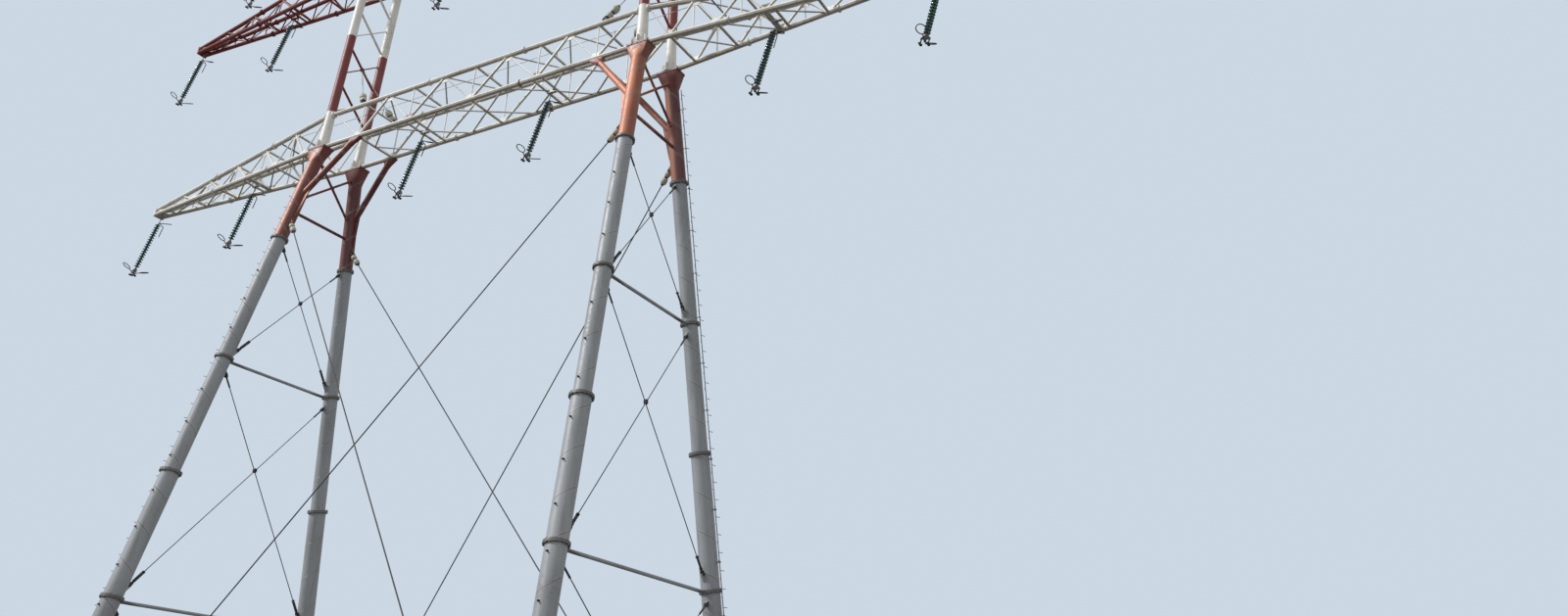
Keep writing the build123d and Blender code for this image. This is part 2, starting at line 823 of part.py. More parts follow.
def clamp_rings(frame, level, radius, length):
    """Round outlines at a yoke's two clamps, extruded across the yoke."""
    with BuildSketch(frame.offset(-length / 2)) as rings:
        with Locations(*[(way * YOKE_HALF, level) for way in SIDES]):
            Circle(radius)
    return extrude(rings.sketch, amount=length, mode=Mode.PRIVATE)


def make_yokes(places, hang_z, name):
    """Twin conductor yokes under the strings, with their clamps."""
    drop = HANGER_LENGTH + DISCS * DISC_PITCH + SOCKET_LENGTH + SEAT
    with BuildPart() as yokes:
        for x in places:
            frame = string_plane(x, hang_z)
            level = -drop - YOKE_HEIGHT
            add_yoke_plate(frame, drop)
            add(clamp_rings(frame, level, CLAMP_R, CLAMP_LENGTH))
            add(clamp_rings(frame, level, CLAMP_BORE_R, 2 * CLAMP_LENGTH), mode=Mode.SUBTRACT)
    save(yokes, name)


# Earth wire peaks and step rails


def make_peaks():
    """Four-legged peaks above the columns for the earth wires."""
    base = TOP_Z + CHORD_RISE + NODE_HALF_HEIGHT + COLUMN_CAP + SEAT
    with BuildPart() as peaks:
        for side in SIDES:
            apex = Vector(side * COLUMN_TOP_X, 0, base + PEAK_RISE)
            for face in FACES:
                foot = column_point(side, face, base)
                add_bar(foot, apex, PEAK_LEG_R, 8)
            rungs = [(column_point(side, face, base) + apex) / 2 for face in FACES]
            add_bar(*rungs, STRUT_R, 6)
        split(bisect_by=Plane.XY.offset(base), keep=Keep.TOP)
    save(peaks, "earth_wire_peaks")


def make_step_rail(side, face):
    """Step rail on brackets along the outside of a leg."""
    out = Vector(side, 0, 0)
    start = leg_point(side, face, RAIL_START_Z)
    end = leg_point(side, face, RAIL_STOP_Z)
    reach = LOWER_LEG_R + RAIL_OFFSET
    with BuildPart() as rail:
        add_bar(start + out * reach, end + out * reach, RAIL_R, 6)
        for index in range(RAIL_BRACKETS):
            level = start.Z + (end.Z - start.Z) * (index + 0.5) / RAIL_BRACKETS
            point = leg_point(side, face, level)
            add_bar(point + out * reach, point, RAIL_BRACKET_R, 6)
        cut_around(leg_point(side, face, 0), leg_point(side, face, TAPER_LEVEL), LOWER_LEG_R)
        cut_around(leg_point(side, face, TAPER_LEVEL), leg_point(side, face, LOWER_Z), UPPER_LEG_R)
    save(rail, f"step_rail_{side_name(side)}_{face_name(face)}")


os.makedirs("parts", exist_ok=True)

for leg_side in SIDES:
    for leg_face in FACES:
        make_leg(leg_side, leg_face)
        make_column(leg_side, leg_face)

CROSSARMS = (
    ("lower", LOWER_Z, LOWER_TIP_X, LOWER_STRINGS_X),
    ("upper", UPPER_Z, UPPER_TIP_X, UPPER_STRINGS_X),
    ("top", TOP_Z, TOP_TIP_X, TOP_STRINGS_X),
)

for level_name, bottom_z, reach_x, strings_x in CROSSARMS:
    for beam_face in FACES:
        make_beam_side(beam_face, bottom_z, f"{level_name}_beam_{face_name(beam_face)}")
    make_beam_bracing(bottom_z, f"{level_name}_beam_bracing", strings_x)
    for arm_side in SIDES:
        make_arm(arm_side, bottom_z, reach_x, strings_x, f"{level_name}_arm_{side_name(arm_side)}")
    hang_z = bottom_z - CHORD_R - SEAT - PIN_R * sin(STRING_LEAN * pi / 180)
    places = sorted({way * x for way in SIDES for x in strings_x})
    make_strings(places, hang_z, f"{level_name}_insulators")
    make_yokes(places, hang_z, f"{level_name}_yokes")

make_knee_struts()
make_peaks()
for brace_side in SIDES:
    make_side_struts(brace_side)
    make_column_braces(brace_side)
    make_side_cables(brace_side)
for cable_run in portal_runs():
    make_portal_cable(cable_run)
make_step_rail(LEFT, FRONT)
make_step_rail(RIGHT, BACK)
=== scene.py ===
"""Dressed visual model of a four-legged portal transmission pylon in steel tube."""
import logging
import math
from contextlib import contextmanager
from dataclasses import dataclass
from enum import Enum
from typing import Any, Callable, Dict, Iterable, Iterator, List, Optional, Sequence, Tuple

import bmesh
import bpy
from mathutils import Matrix, Vector


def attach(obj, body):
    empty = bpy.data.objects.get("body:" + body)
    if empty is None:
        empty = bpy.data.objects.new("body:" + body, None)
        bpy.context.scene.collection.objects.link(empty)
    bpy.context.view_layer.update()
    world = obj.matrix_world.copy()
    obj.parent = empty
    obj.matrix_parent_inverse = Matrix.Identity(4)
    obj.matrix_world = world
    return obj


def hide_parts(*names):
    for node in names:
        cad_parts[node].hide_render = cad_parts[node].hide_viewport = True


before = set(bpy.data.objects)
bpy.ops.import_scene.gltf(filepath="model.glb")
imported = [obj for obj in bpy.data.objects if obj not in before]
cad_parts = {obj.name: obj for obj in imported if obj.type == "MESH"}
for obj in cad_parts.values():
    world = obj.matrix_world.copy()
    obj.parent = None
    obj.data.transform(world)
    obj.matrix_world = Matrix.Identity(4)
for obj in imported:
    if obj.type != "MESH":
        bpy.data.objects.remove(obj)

LOG = logging.getLogger("pylon")
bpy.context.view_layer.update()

Mesh = bpy.types.Object
Material = bpy.types.Material
Colour = Tuple[float, float, float]
Triple = Tuple[float, float, float]
Pair = Tuple[float, float]
Profile = Sequence[Pair]

ACROSS = Vector((1.0, 0.0, 0.0))
ALONG = Vector((0.0, 1.0, 0.0))
UP = Vector((0.0, 0.0, 1.0))
QUARTER = math.pi / 2
FULL = 2 * math.pi


class Way(Enum):
    """One way from the pylon's middle, as the sign of a coordinate."""

    @property
    def word(self) -> str:
        """The way's name in lower case."""
        return self.name.lower()

    @property
    def opposite(self) -> "Way":
        """The other way."""
        return type(self)(-self.value)


class Side(Way):
    """Left or right, along X."""

    LEFT = -1
    RIGHT = 1


class Face(Way):
    """Front or back, along Y."""

    FRONT = -1
    BACK = 1


CORNERS = [(side, face) for side in Side for face in Face]


class Paint(Enum):
    """Coats of paint and bare surfaces, as plain colours in linear light."""

    GREY = (0.275, 0.300, 0.325)
    ORANGE = (0.430, 0.088, 0.038)
    FADED = (0.640, 0.235, 0.110)
    # Maroon paint of the leg heads, also the painted shade under their flares.
    MAROON = (0.150, 0.030, 0.026)
    # Deep red for the legs' painted shade and for their deeper, less faded paint.
    DEEP = (0.105, 0.019, 0.024)
    RED = (0.178, 0.019, 0.020)
    WHITE = (0.730, 0.725, 0.690)
    # Olive stains, also the colour of undersides darkened partly by grime and partly by painted
    # shade.
    OLIVE = (0.200, 0.165, 0.100)
    BROWN = (0.180, 0.115, 0.060)
    DIRT = (0.085, 0.078, 0.070)
    ZINC = (0.200, 0.206, 0.212)
    DARK = (0.040, 0.040, 0.043)
    CREAM = (0.400, 0.385, 0.330)
    GLASS = (0.003, 0.092, 0.088)
    DEEP_GLASS = (0.002, 0.052, 0.062)
    CABLE = (0.045, 0.043, 0.044)
    PALE = (0.430, 0.380, 0.350)


# Sizes shared with the frame


@dataclass(frozen=True)
class Crossarm:
    """One crossarm: its level, reach, the places of its strings and its slot."""

    name: str
    bottom: float
    tip: float
    strings: Tuple[float, ...]
    slot: str = "red_steel"
    rise: float = 1.12

    @property
    def places(self) -> List[float]:
        """Places of all strings along X."""
        return sorted({way * x for way in (-1, 1) for x in self.strings})

    def level(self, high: bool) -> float:
        """The level of the top or the bottom chords at the columns."""
        return self.bottom + (self.rise if high else 0.0)


CROSSARMS = (
    Crossarm("lower", 19.15, 13.90, (2.29, 9.27, 13.69), "white_steel"),
    Crossarm("upper", 25.95, 14.45, (2.29, 9.70, 14.24)),
    Crossarm("top", 29.50, 12.15, (0.0, 11.94)),
)


@dataclass(frozen=True)
class Layout:
    """Centre lines of the pylon's members, in metres."""

    foot: Pair = (6.55, 3.75)
    haunch: Pair = (5.68, 0.69)
    column_top: Pair = (5.50, 0.64)
    haunch_z: float = 19.15
    column_top_z: float = 29.50
    tip_rise: float = 0.15
    tip_half: float = 0.11
    node_half: float = 0.165
    panels: int = 6
    beam_low: Tuple[float, ...] = (-4.24, -2.29, 0.0, 2.29, 4.24)
    beam_high: Tuple[float, ...] = (-3.265, -1.145, 1.145, 3.265)
    flanges: Tuple[float, ...] = (3.20, 6.17, 9.14, 12.22, 15.90)
    taper_z: float = 9.14
    lower_leg_r: float = 0.216
    upper_leg_r: float = 0.191
    column_r: float = 0.135
    chord_r: float = 0.070

    def leg(self, side: Way, face: Way, level: float) -> Vector:
        """The leg's centre line at a level."""
        share = level / self.haunch_z
        x = self.foot[0] + (self.haunch[0] - self.foot[0]) * share
        y = self.foot[1] + (self.haunch[1] - self.foot[1]) * share
        return Vector((side.value * x, face.value * y, level))

    def leg_ahead(self, side: Way, face: Way) -> Vector:
        """Unit vector up along a leg."""
        return (self.leg(side, face, self.haunch_z) - self.leg(side, face, 0.0)).normalized()

    def leg_r(self, level: float) -> float:
        """The leg's radius at a level."""
        return self.lower_leg_r if level <= self.taper_z else self.upper_leg_r

    def column(self, side: Way, face: Way, level: float) -> Vector:
        """The column's centre line at a level."""
        share = (level - self.haunch_z) / (self.column_top_z - self.haunch_z)
        x = self.haunch[0] + (self.column_top[0] - self.haunch[0]) * share
        y = self.haunch[1] + (self.column_top[1] - self.haunch[1]) * share
        return Vector((side.value * x, face.value * y, level))

    def chord(self, arm: Crossarm, side: Way, face: Way, share: float, high: bool) -> Vector:
        """A point on a cantilever arm's chord.

        Args:
            arm: The crossarm.
            side: Its left or right arm.
            face: The front or back chord.
            share: Zero at the column, one at the tip.
            high: The top chord, not the bottom one.

        Returns:
            The point on the chord's centre line.
        """
        root = self.column(Side.RIGHT, Face.BACK, arm.level(high))
        start = root.x + self.node_half
        x = start + (arm.tip - start) * share
        y = root.y + (self.tip_half - root.y) * share
        lift = arm.rise + (self.tip_rise - arm.rise) * share if high else 0.0
        return Vector((side.value * x, face.value * y, arm.bottom + lift))

    def chord_ends(self, arm: Crossarm, side: Way, face: Way, high: bool) -> List[Vector]:
        """Both ends of a cantilever arm's chord."""
        return [self.chord(arm, side, face, share, high) for share in (0.0, 1.0)]


LAYOUT = Layout()


# Places


def shifted(x: float, y: float, z: float) -> Matrix:
    """Matrix that carries a shape along by an offset."""
    return Matrix.Translation((x, y, z))


def spun(angle: float, axis: str) -> Matrix:
    """Matrix that turns a shape about an axis, by an angle in radians."""
    return Matrix.Rotation(angle, 4, axis)


def based(x_axis: Vector, y_axis: Vector, z_axis: Vector) -> Matrix:
    """Matrix that turns a shape's own axes to three directions."""
    return Matrix((x_axis, y_axis, z_axis)).transposed().to_4x4()


def around(count: int, radius: float) -> List[Matrix]:
    """Places evenly round Z, from half a step past +X."""
    turns = [FULL * (index + 0.5) / count for index in range(count)]
    return [spun(turn, "Z") @ shifted(radius, 0.0, 0.0) for turn in turns]


def framed(origin: Vector, ahead: Vector, aside: Vector = UP) -> Matrix:
    """Matrix that stands a Z-aligned shape at a point along a direction.

    Args:
        origin: Where the shape's own origin goes.
        ahead: Where its own Z axis points.
        aside: Where its own Y axis points, as nearly as it can.

    Returns:
        The 4 by 4 placing matrix.
    """
    z_axis = ahead.normalized()
    if abs(z_axis.dot(aside.normalized())) > 0.999:
        aside = ALONG
    x_axis = aside.cross(z_axis).normalized()
    return Matrix.Translation(origin) @ based(x_axis, z_axis.cross(x_axis), z_axis)


# Modelling with operators


def deselect() -> None:
    """Leave nothing selected."""
    for other in list(bpy.context.selected_objects):
        other.select_set(False)


def pick(piece: Mesh) -> None:
    """Select one object alone."""
    deselect()
    piece.select_set(True)
    bpy.context.view_layer.objects.active = piece


def added() -> Mesh:
    """The object just added, with its place and size applied."""
    bpy.ops.object.transform_apply(location=True, rotation=True, scale=True)
    return bpy.context.active_object


@contextmanager
def editing(piece: Mesh, mode: str = "FACE") -> Iterator[None]:
    """Edit mode on one object with all of it selected; its faces end up turned outwards."""
    pick(piece)
    bpy.ops.object.mode_set(mode="EDIT")
    bpy.ops.mesh.select_mode(type=mode)
    bpy.ops.mesh.select_all(action="SELECT")
    yield
    bpy.ops.mesh.select_all(action="SELECT")
    bpy.ops.mesh.normals_make_consistent(inside=False)
    bpy.ops.object.mode_set(mode="OBJECT")


def choose_edges(piece: Mesh, test: Callable[[Vector], bool]) -> None:
    """Select the edges whose run passes a test, in edit mode."""
    shape = bmesh.from_edit_mesh(piece.data)
    for edge in shape.edges:
        first, second = (corner.co for corner in edge.verts)
        edge.select_set(test(second - first))
    bmesh.update_edit_mesh(piece.data)


def lathe(profile: Profile, sides: int = 8) -> Mesh:
    """A shape turned about Z from a disc that is drawn up and scaled step by step.

    Args:
        profile: Radius and height of each step, from the bottom.
        sides: Faces around the shape.

    Returns:
        The closed shape.
    """
    deselect()
    radius, height = profile[0]
    bpy.ops.mesh.primitive_circle_add(
        vertices=sides, radius=radius, fill_type="NGON", location=(0.0, 0.0, height)
    )
    piece = added()
    with editing(piece):
        for wider, higher in profile[1:]:
            offset = (0.0, 0.0, higher - height)
            bpy.ops.mesh.extrude_region_move(TRANSFORM_OT_translate={"value": offset})
            scale = wider / radius
            bpy.ops.transform.resize(value=(scale, scale, 1.0), center_override=(0.0, 0.0, higher))
            radius, height = wider, higher
    return piece


def rod(start: Vector, end: Vector, radius: float, sides: int = 8) -> Mesh:
    """A round rod between two points, with its ends chamfered."""
    length = (end - start).length
    chamfer = min(radius * 0.3, length * 0.2)
    neck = radius * 0.7
    profile = ((neck, 0.0), (radius, chamfer), (radius, length - chamfer), (neck, length))
    return moved(lathe(profile, sides), framed(start, end - start))


def plate(size: Triple, cut: float) -> Mesh:
    """A flat plate in the XZ plane with its four corners cut off.

    Args:
        size: Width, thickness and height.
        cut: How far each corner is cut back.

    Returns:
        The plate, centred on the origin.
    """
    deselect()
    bpy.ops.mesh.primitive_cube_add(size=1.0, scale=size)
    piece = added()
    with editing(piece, "EDGE"):
        bpy.ops.mesh.select_all(action="DESELECT")
        choose_edges(piece, lambda run: abs(run.y) > abs(run.x) + abs(run.z))
        bpy.ops.mesh.bevel(offset=cut, segments=1, affect="EDGES")
    return piece


def loop(radius: float, wire: float, steps: int = 14, sides: int = 6) -> Mesh:
    """A ring of wire about Z, spun from a small disc.

    Args:
        radius: From the ring's centre to the wire's.
        wire: The wire's radius.
        steps: Straight pieces in the ring.
        sides: Faces around the wire.

    Returns:
        The closed ring.
    """
    deselect()
    bpy.ops.mesh.primitive_circle_add(
        vertices=sides,
        radius=wire,
        fill_type="NGON",
        location=(radius, 0.0, 0.0),
        rotation=(QUARTER, 0.0, 0.0),
    )
    piece = added()
    with editing(piece):
        bpy.ops.mesh.spin(steps=steps, angle=FULL, center=(0.0, 0.0, 0.0), axis=tuple(UP))
        bpy.ops.mesh.select_all(action="SELECT")
        bpy.ops.mesh.remove_doubles(threshold=wire * 0.01)
    return piece


def moved(piece: Mesh, place: Matrix) -> Mesh:
    """The same object with its mesh carried to a place."""
    piece.data.transform(place)
    return piece


def copies(master: Mesh, places: Iterable[Matrix]) -> List[Mesh]:
    """Copies of a master, each with its own mesh at its place; the master goes."""
    made = []
    for place in places:
        copy = bpy.data.objects.new(master.name, master.data.copy())
        bpy.context.scene.collection.objects.link(copy)
        made.append(moved(copy, place))
    bpy.data.objects.remove(master, do_unlink=True)
    return made


def coated(piece: Mesh, *materials: Material) -> Mesh:
    """The same object with its materials changed for others; the first is on all of it."""
    piece.data.materials.clear()
    for material in materials:
        piece.data.materials.append(material)
    return piece


def patched(piece: Mesh, test: Callable[[Vector], bool]) -> Mesh:
    """The same object with its second material where a face's centre passes a test."""
    for polygon in piece.data.polygons:
        polygon.material_index = int(test(polygon.center))
    return piece


def joined(name: str, parts: Sequence[Mesh]) -> Mesh:
    """Several objects joined into one, named piece."""
    pick(parts[0])
    for part in parts:
        part.select_set(True)
    if len(parts) > 1:
        bpy.ops.object.join()
    piece = bpy.context.active_object
    piece.name = name
    piece.data.name = name
    return piece


def finished(
    name: str,
    parts: Sequence[Mesh],
    coat: Material,
    slot: str = "galvanised_fittings",
    stands_for: Optional[str] = None,
    smooth: float = 32.0,
) -> Mesh:
    """Join parts into one piece and finish it: coat, soft shading and body.

    Args:
        name: The piece's name.
        parts: Its parts.
        coat: Its finish, unless its parts already carry theirs.
        slot: The record's material slot; not used.
        stands_for: The node of the frame that it replaces, if any.
        smooth: Edges flatter than this many degrees are shaded smooth.

    Returns:
        The piece.
    """
    piece = joined(name, parts)
    if not piece.data.materials:
        coated(piece, coat)
    if stands_for:
        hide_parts(stands_for)
    pick(piece)
    bpy.ops.object.shade_smooth_by_angle(angle=math.radians(smooth))
    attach(piece, "root")
    deselect()
    LOG.info("%s: %d faces", piece.name, len(piece.data.polygons))
    return piece


# Shader maths


def operator(operation: str) -> Callable[["Signal", Any], "Signal"]:
    """A method that adds a Math node of one operation."""
    return lambda self, other: self.math(operation, other)


class Signal:
    """A shader socket that takes part in Python arithmetic.

    Each operator adds one Math node to the tree and wraps its output.
    """

    def __init__(self, tree: bpy.types.NodeTree, socket: Any) -> None:
        """Wrap a socket of a tree."""
        self.tree = tree
        self.socket = socket

    def chained(self, operation: str, values: Sequence[Any]) -> "Signal":
        """Add a Math node.

        Args:
            operation: The node's operation.
            values: Its inputs, as signals or numbers.

        Returns:
            The node's output.
        """
        node = self.tree.nodes.new("ShaderNodeMath")
        node.operation = operation
        for slot, value in zip(node.inputs, values):
            if isinstance(value, Signal):
                self.tree.links.new(value.socket, slot)
            else:
                slot.default_value = float(value)
        return Signal(self.tree, node.outputs[0])

    def math(self, operation: str, *others: Any) -> "Signal":
        """Add a Math node whose first input is this signal."""
        return self.chained(operation, (self, *others))

    __add__ = __radd__ = operator("ADD")
    __sub__ = operator("SUBTRACT")
    __mul__ = __rmul__ = operator("MULTIPLY")
    __gt__ = operator("GREATER_THAN")
    __lt__ = operator("LESS_THAN")

    def __rsub__(self, other: float) -> "Signal":
        """Difference from a number on the left."""
        return self.chained("SUBTRACT", (other, self))

    def clamped(self) -> "Signal":
        """This signal held between zero and one."""
        return self.math("MAXIMUM", 0.0).math("MINIMUM", 1.0)

    def ramp(self, low: float, high: float) -> "Signal":
        """A straight climb from zero at low to one at high, held outside them."""
        return ((self - low) * (1.0 / (high - low))).clamped()

    def fraction(self) -> "Signal":
        """The part after the decimal point."""
        return self.math("FRACT")

    def absolute(self) -> "Signal":
        """The size without its sign."""
        return self.math("ABSOLUTE")


class ShaderTree:
    """A material with one Principled shader, written as expressions."""

    def __init__(self, name: str) -> None:
        """Start a material."""
        self.material = bpy.data.materials.new(name)
        self.material.use_nodes = True
        self.tree = self.material.node_tree
        self.shader = self.tree.nodes["Principled BSDF"]

    def feed(self, socket: Any, value: Any) -> None:
        """Link a signal to a socket, or set a number or colour on it."""
        if isinstance(value, Enum):
            value = value.value
        if isinstance(value, Signal):
            self.tree.links.new(value.socket, socket)
        elif isinstance(value, tuple) and len(socket.default_value) == 4:
            socket.default_value = (*value, 1.0)
        else:
            socket.default_value = value

    def node(
        self, kind: str, settings: Dict[str, Any], inputs: Dict[Any, Any], output: int = 0
    ) -> Signal:
        """Add a node.

        Args:
            kind: The node's type.
            settings: Its properties, which are set first.
            inputs: Values or signals for its sockets, by name or number.
            output: Which output is wanted.

        Returns:
            The wanted output.
        """
        made = self.tree.nodes.new(kind)
        for key, value in settings.items():
            setattr(made, key, value)
        for key, value in inputs.items():
            self.feed(made.inputs[key], value)
        return Signal(self.tree, made.outputs[output])

    def place(self) -> Signal:
        """Object coordinates."""
        return self.node("ShaderNodeTexCoord", {}, {}, 3)

    def axes(self, vector: Signal) -> List[Signal]:
        """The three numbers of a vector."""
        made = self.tree.nodes.new("ShaderNodeSeparateXYZ")
        self.feed(made.inputs[0], vector)
        return [Signal(self.tree, output) for output in made.outputs]

    def vector(self, x: Any, y: Any, z: Any) -> Signal:
        """A vector from three numbers or signals."""
        return self.node("ShaderNodeCombineXYZ", {}, {0: x, 1: y, 2: z})

    def noise(self, vector: Signal, scale: float, detail: float = 3.0) -> Signal:
        """Cloudy noise around one half."""
        inputs = {"Vector": vector, "Scale": scale, "Detail": detail}
        return self.node("ShaderNodeTexNoise", {}, inputs)

    def mix(self, share: Any, first: Any, second: Any) -> Signal:
        """Blend two colours; a share of one gives the second."""
        inputs = {0: share, 6: first, 7: second}
        return self.node("ShaderNodeMix", {"data_type": "RGBA"}, inputs, 2)

    def facing(self, way: Sequence[float]) -> Signal:
        """How far the surface faces a direction, from minus one to one."""
        x, y, z = self.axes(self.node("ShaderNodeNewGeometry", {}, {}, 1))
        return x * way[0] + y * way[1] + z * way[2]

    def underside(self) -> Signal:
        """One where the surface faces down, falling to zero where it stands upright."""
        return self.facing((0.0, 0.0, -1.0)).ramp(0.0, 0.55)

    def bumped(self, height: Signal, distance: float, **over: Signal) -> Signal:
        """A normal from a height in metres times the distance, over another if one is given."""
        inputs = {"Height": height, "Distance": distance, **over}
        return self.node("ShaderNodeBump", {}, inputs)

    def shade(self, **inputs: Any) -> Material:
        """Feed the shader's sockets, named with underscores for spaces.

        Returns:
            The finished material.
        """
        for key, value in inputs.items():
            self.feed(self.shader.inputs[key.replace("_", " ")], value)
        return self.material


# Finishes


@dataclass(frozen=True)
class Weather:
    """How far a coat is clouded, streaked, spotted and darkened underneath by grime and painted
    shade, from zero to one.
    """

    mottle: float = 0.30
    streak: float = 0.35
    rust: float = 0.25
    # Olive darkening of downward faces: partly grime and partly painted shade.
    under: float = 0.0
    grain: float = 16.0
    relief: float = 0.0015
    drip_scale: Triple = (9.0, 9.0, 0.8)
    dirt_share: float = 0.6
    pale_share: float = 0.35
    clouds_at: Pair = (0.45, 0.72)
    pale_at: Pair = (0.50, 0.75)
    drips_at: Pair = (0.50, 0.72)
    spots_at: Pair = (0.56, 0.66)

    def laid_on(self, tree: ShaderTree, coat: Any, roughness: float = 0.5) -> Dict[str, Signal]:
        """Weather a coat of paint; with under set, its undersides are darkened by grime and painted
        shade.

        Args:
            tree: The material being made.
            coat: The clean coat, as a paint or a signal.
            roughness: The clean roughness.

        Returns:
            Colour, roughness and normal for the shader.
        """
        place = tree.place()
        axes = tree.axes(place)
        clouds = tree.noise(place, 0.8, 4.0)
        fine = tree.noise(place, self.grain)
        run = tree.vector(*(axis * scale for axis, scale in zip(axes, self.drip_scale)))
        drips = tree.noise(run, 1.0, 4.0)
        darker = tree.mix(self.dirt_share, coat, Paint.DIRT)
        paler = tree.mix(self.pale_share, coat, Paint.PALE)
        shade = tree.mix(clouds.ramp(*self.clouds_at) * self.mottle, coat, darker)
        shade = tree.mix((1.0 - clouds).ramp(*self.pale_at) * self.mottle, shade, paler)
        shade = tree.mix(drips.ramp(*self.drips_at) * self.streak, shade, darker)
        # Undersides darkened olive: partly grime and partly painted shade.
        if self.under:
            underside_grime_and_shade = tree.underside() * (clouds * 0.8 + 0.6).clamped() * self.under
            shade = tree.mix(underside_grime_and_shade, shade, Paint.OLIVE)
        spots = (fine * 0.55 + clouds * 0.45).ramp(*self.spots_at)
        return {
            "Base_Color": tree.mix(spots * self.rust, shade, Paint.BROWN),
            "Roughness": ((fine - 0.5) * 0.25 + roughness + spots * 0.15).clamped(),
            "Normal": tree.bumped(fine * 0.6 + drips * 0.4, self.relief),
        }


@dataclass(frozen=True)
class Coat:
    """One plain coat over a whole piece, weathered."""

    name: str
    paint: Paint
    weather: Weather = Weather()
    roughness: float = 0.5
    metallic: float = 0.0
    gloss: float = 0.35

    def build(self) -> Material:
        """Make the material."""
        tree = ShaderTree(self.name)
        looks = self.weather.laid_on(tree, self.paint, self.roughness)
        return tree.shade(Metallic=self.metallic, Specular_IOR_Level=self.gloss, **looks)


@dataclass(frozen=True)
class LegPaint:
    """Grey below the top flange and orange above, with spiral weld seams and painted shade on the
    orange.

    The four legs are folded onto one by the signs of X and Y.
    """

    name: str = "leg_paint"
    band_z: float = 15.90
    head_z: Pair = (18.82, 19.00)
    # Levels over which the flares' undersides get painted shade.
    flare_z: Pair = (18.48, 18.64)
    # Way towards the key lamp; faces of the orange turned from it get painted shade.
    sun: Triple = (-0.57, -0.52, 0.64)
    seam_pitch: float = 0.86
    seam_half: float = 0.007
    seam_relief: float = 0.006
    flange_half: float = 0.032
    joint_half: float = 0.004
    in_shade: float = 0.62
    # Deep red added on the left and back legs: partly deeper, less faded paint and partly painted
    # shade.
    on_left: float = 0.32
    at_back: float = 0.50
    head_share: float = 0.85
    halo_share: float = 0.22
    seam_share: float = 0.55
    flange_share: float = 0.78
    joint_share: float = 0.8

    def faded(self, tree: ShaderTree) -> Signal:
        """The orange: faded at random, with painted shade on faces turned from the key lamp, and
        darker on the left and back legs as deeper paint and painted shade; maroon paint on the
        heads, with painted shade under their flares.
        """
        x, y, z = tree.axes(tree.place())
        fading = tree.noise(tree.vector(x, y, z * 0.45), 0.9, 4.0).ramp(0.44, 0.66)
        bright = tree.mix(fading * 0.35 + 0.55, Paint.ORANGE, Paint.FADED)
        # Painted shade: deep red on faces turned from the key lamp, and on the left and back legs,
        # where it is partly deeper paint.
        shaded = 1.0 - tree.facing(self.sun).ramp(0.0, 0.5)
        deep_paint_and_shade = shaded * self.in_shade + (x < 0.0) * self.on_left + (y > 0.0) * self.at_back
        bright = tree.mix(deep_paint_and_shade.clamped(), bright, Paint.DEEP)
        # Painted shade: maroon on the downward faces of the flares under the heads; above head_z
        # the maroon is the heads' paint.
        flare_shade = tree.underside().ramp(0.15, 0.33) * z.ramp(*self.flare_z)
        head = (flare_shade + z.ramp(*self.head_z)).clamped()
        return tree.mix(head * self.head_share, bright, Paint.MAROON)

    def build(self) -> Material:
        """Make the material."""
        tree = ShaderTree(self.name)
        x, y, z = tree.axes(tree.place())
        foot_x, foot_y = LAYOUT.foot
        lean_x = (LAYOUT.haunch[0] - foot_x) / LAYOUT.haunch_z
        lean_y = (LAYOUT.haunch[1] - foot_y) / LAYOUT.haunch_z
        slope = math.sqrt(1.0 + lean_x**2 + lean_y**2)
        out_x = x.absolute() - foot_x
        out_y = y.absolute() - foot_y
        along = (out_x * lean_x + out_y * lean_y + z) * (1.0 / slope)
        turn = (out_y - z * lean_y).math("ARCTAN2", out_x - z * lean_x) * (1.0 / FULL)
        spiral = (along * (1.0 / self.seam_pitch) + turn + 10.0).fraction()
        from_seam = (spiral - 0.5).absolute() * self.seam_pitch
        seam = 1.0 - from_seam.ramp(self.seam_half * 0.4, self.seam_half * 1.6)
        halo = 1.0 - from_seam.ramp(self.seam_half, self.seam_half * 9.0)
        flange = joint = along * 0.0
        for level in LAYOUT.flanges:
            away = (along - level * slope).absolute()
            flange = flange + (away < self.flange_half)
            joint = joint + (away < self.joint_half)
        coat = tree.mix(along > self.band_z * slope, Paint.GREY, self.faded(tree))
        coat = tree.mix(halo * self.halo_share, coat, Paint.PALE)
        coat = tree.mix(seam * self.seam_share, coat, Paint.DIRT)
        coat = tree.mix(flange.clamped() * self.flange_share, coat, Paint.DIRT)
        coat = tree.mix(joint.clamped() * self.joint_share, coat, Paint.DARK)
        looks = Weather(0.34, 0.42, 0.22).laid_on(tree, coat)
        looks["Normal"] = tree.bumped(seam, self.seam_relief, Normal=looks["Normal"])
        return tree.shade(**looks)


@dataclass(frozen=True)
class BandedPaint:
    """One coat with bands of another at set levels."""

    name: str
    paint: Paint
    band: Paint
    bands: Tuple[Pair, ...]
    ragged: float = 0.05

    def build(self) -> Material:
        """Make the material."""
        tree = ShaderTree(self.name)
        place = tree.place()
        level = tree.axes(place)[2] + (tree.noise(place, 3.0) - 0.5) * self.ragged
        inside = level * 0.0
        for low, high in self.bands:
            inside = inside + (level > low) * (level < high)
        coat = tree.mix(inside.clamped(), self.paint, self.band)
        return tree.shade(**Weather(0.3, 0.4, 0.3).laid_on(tree, coat))


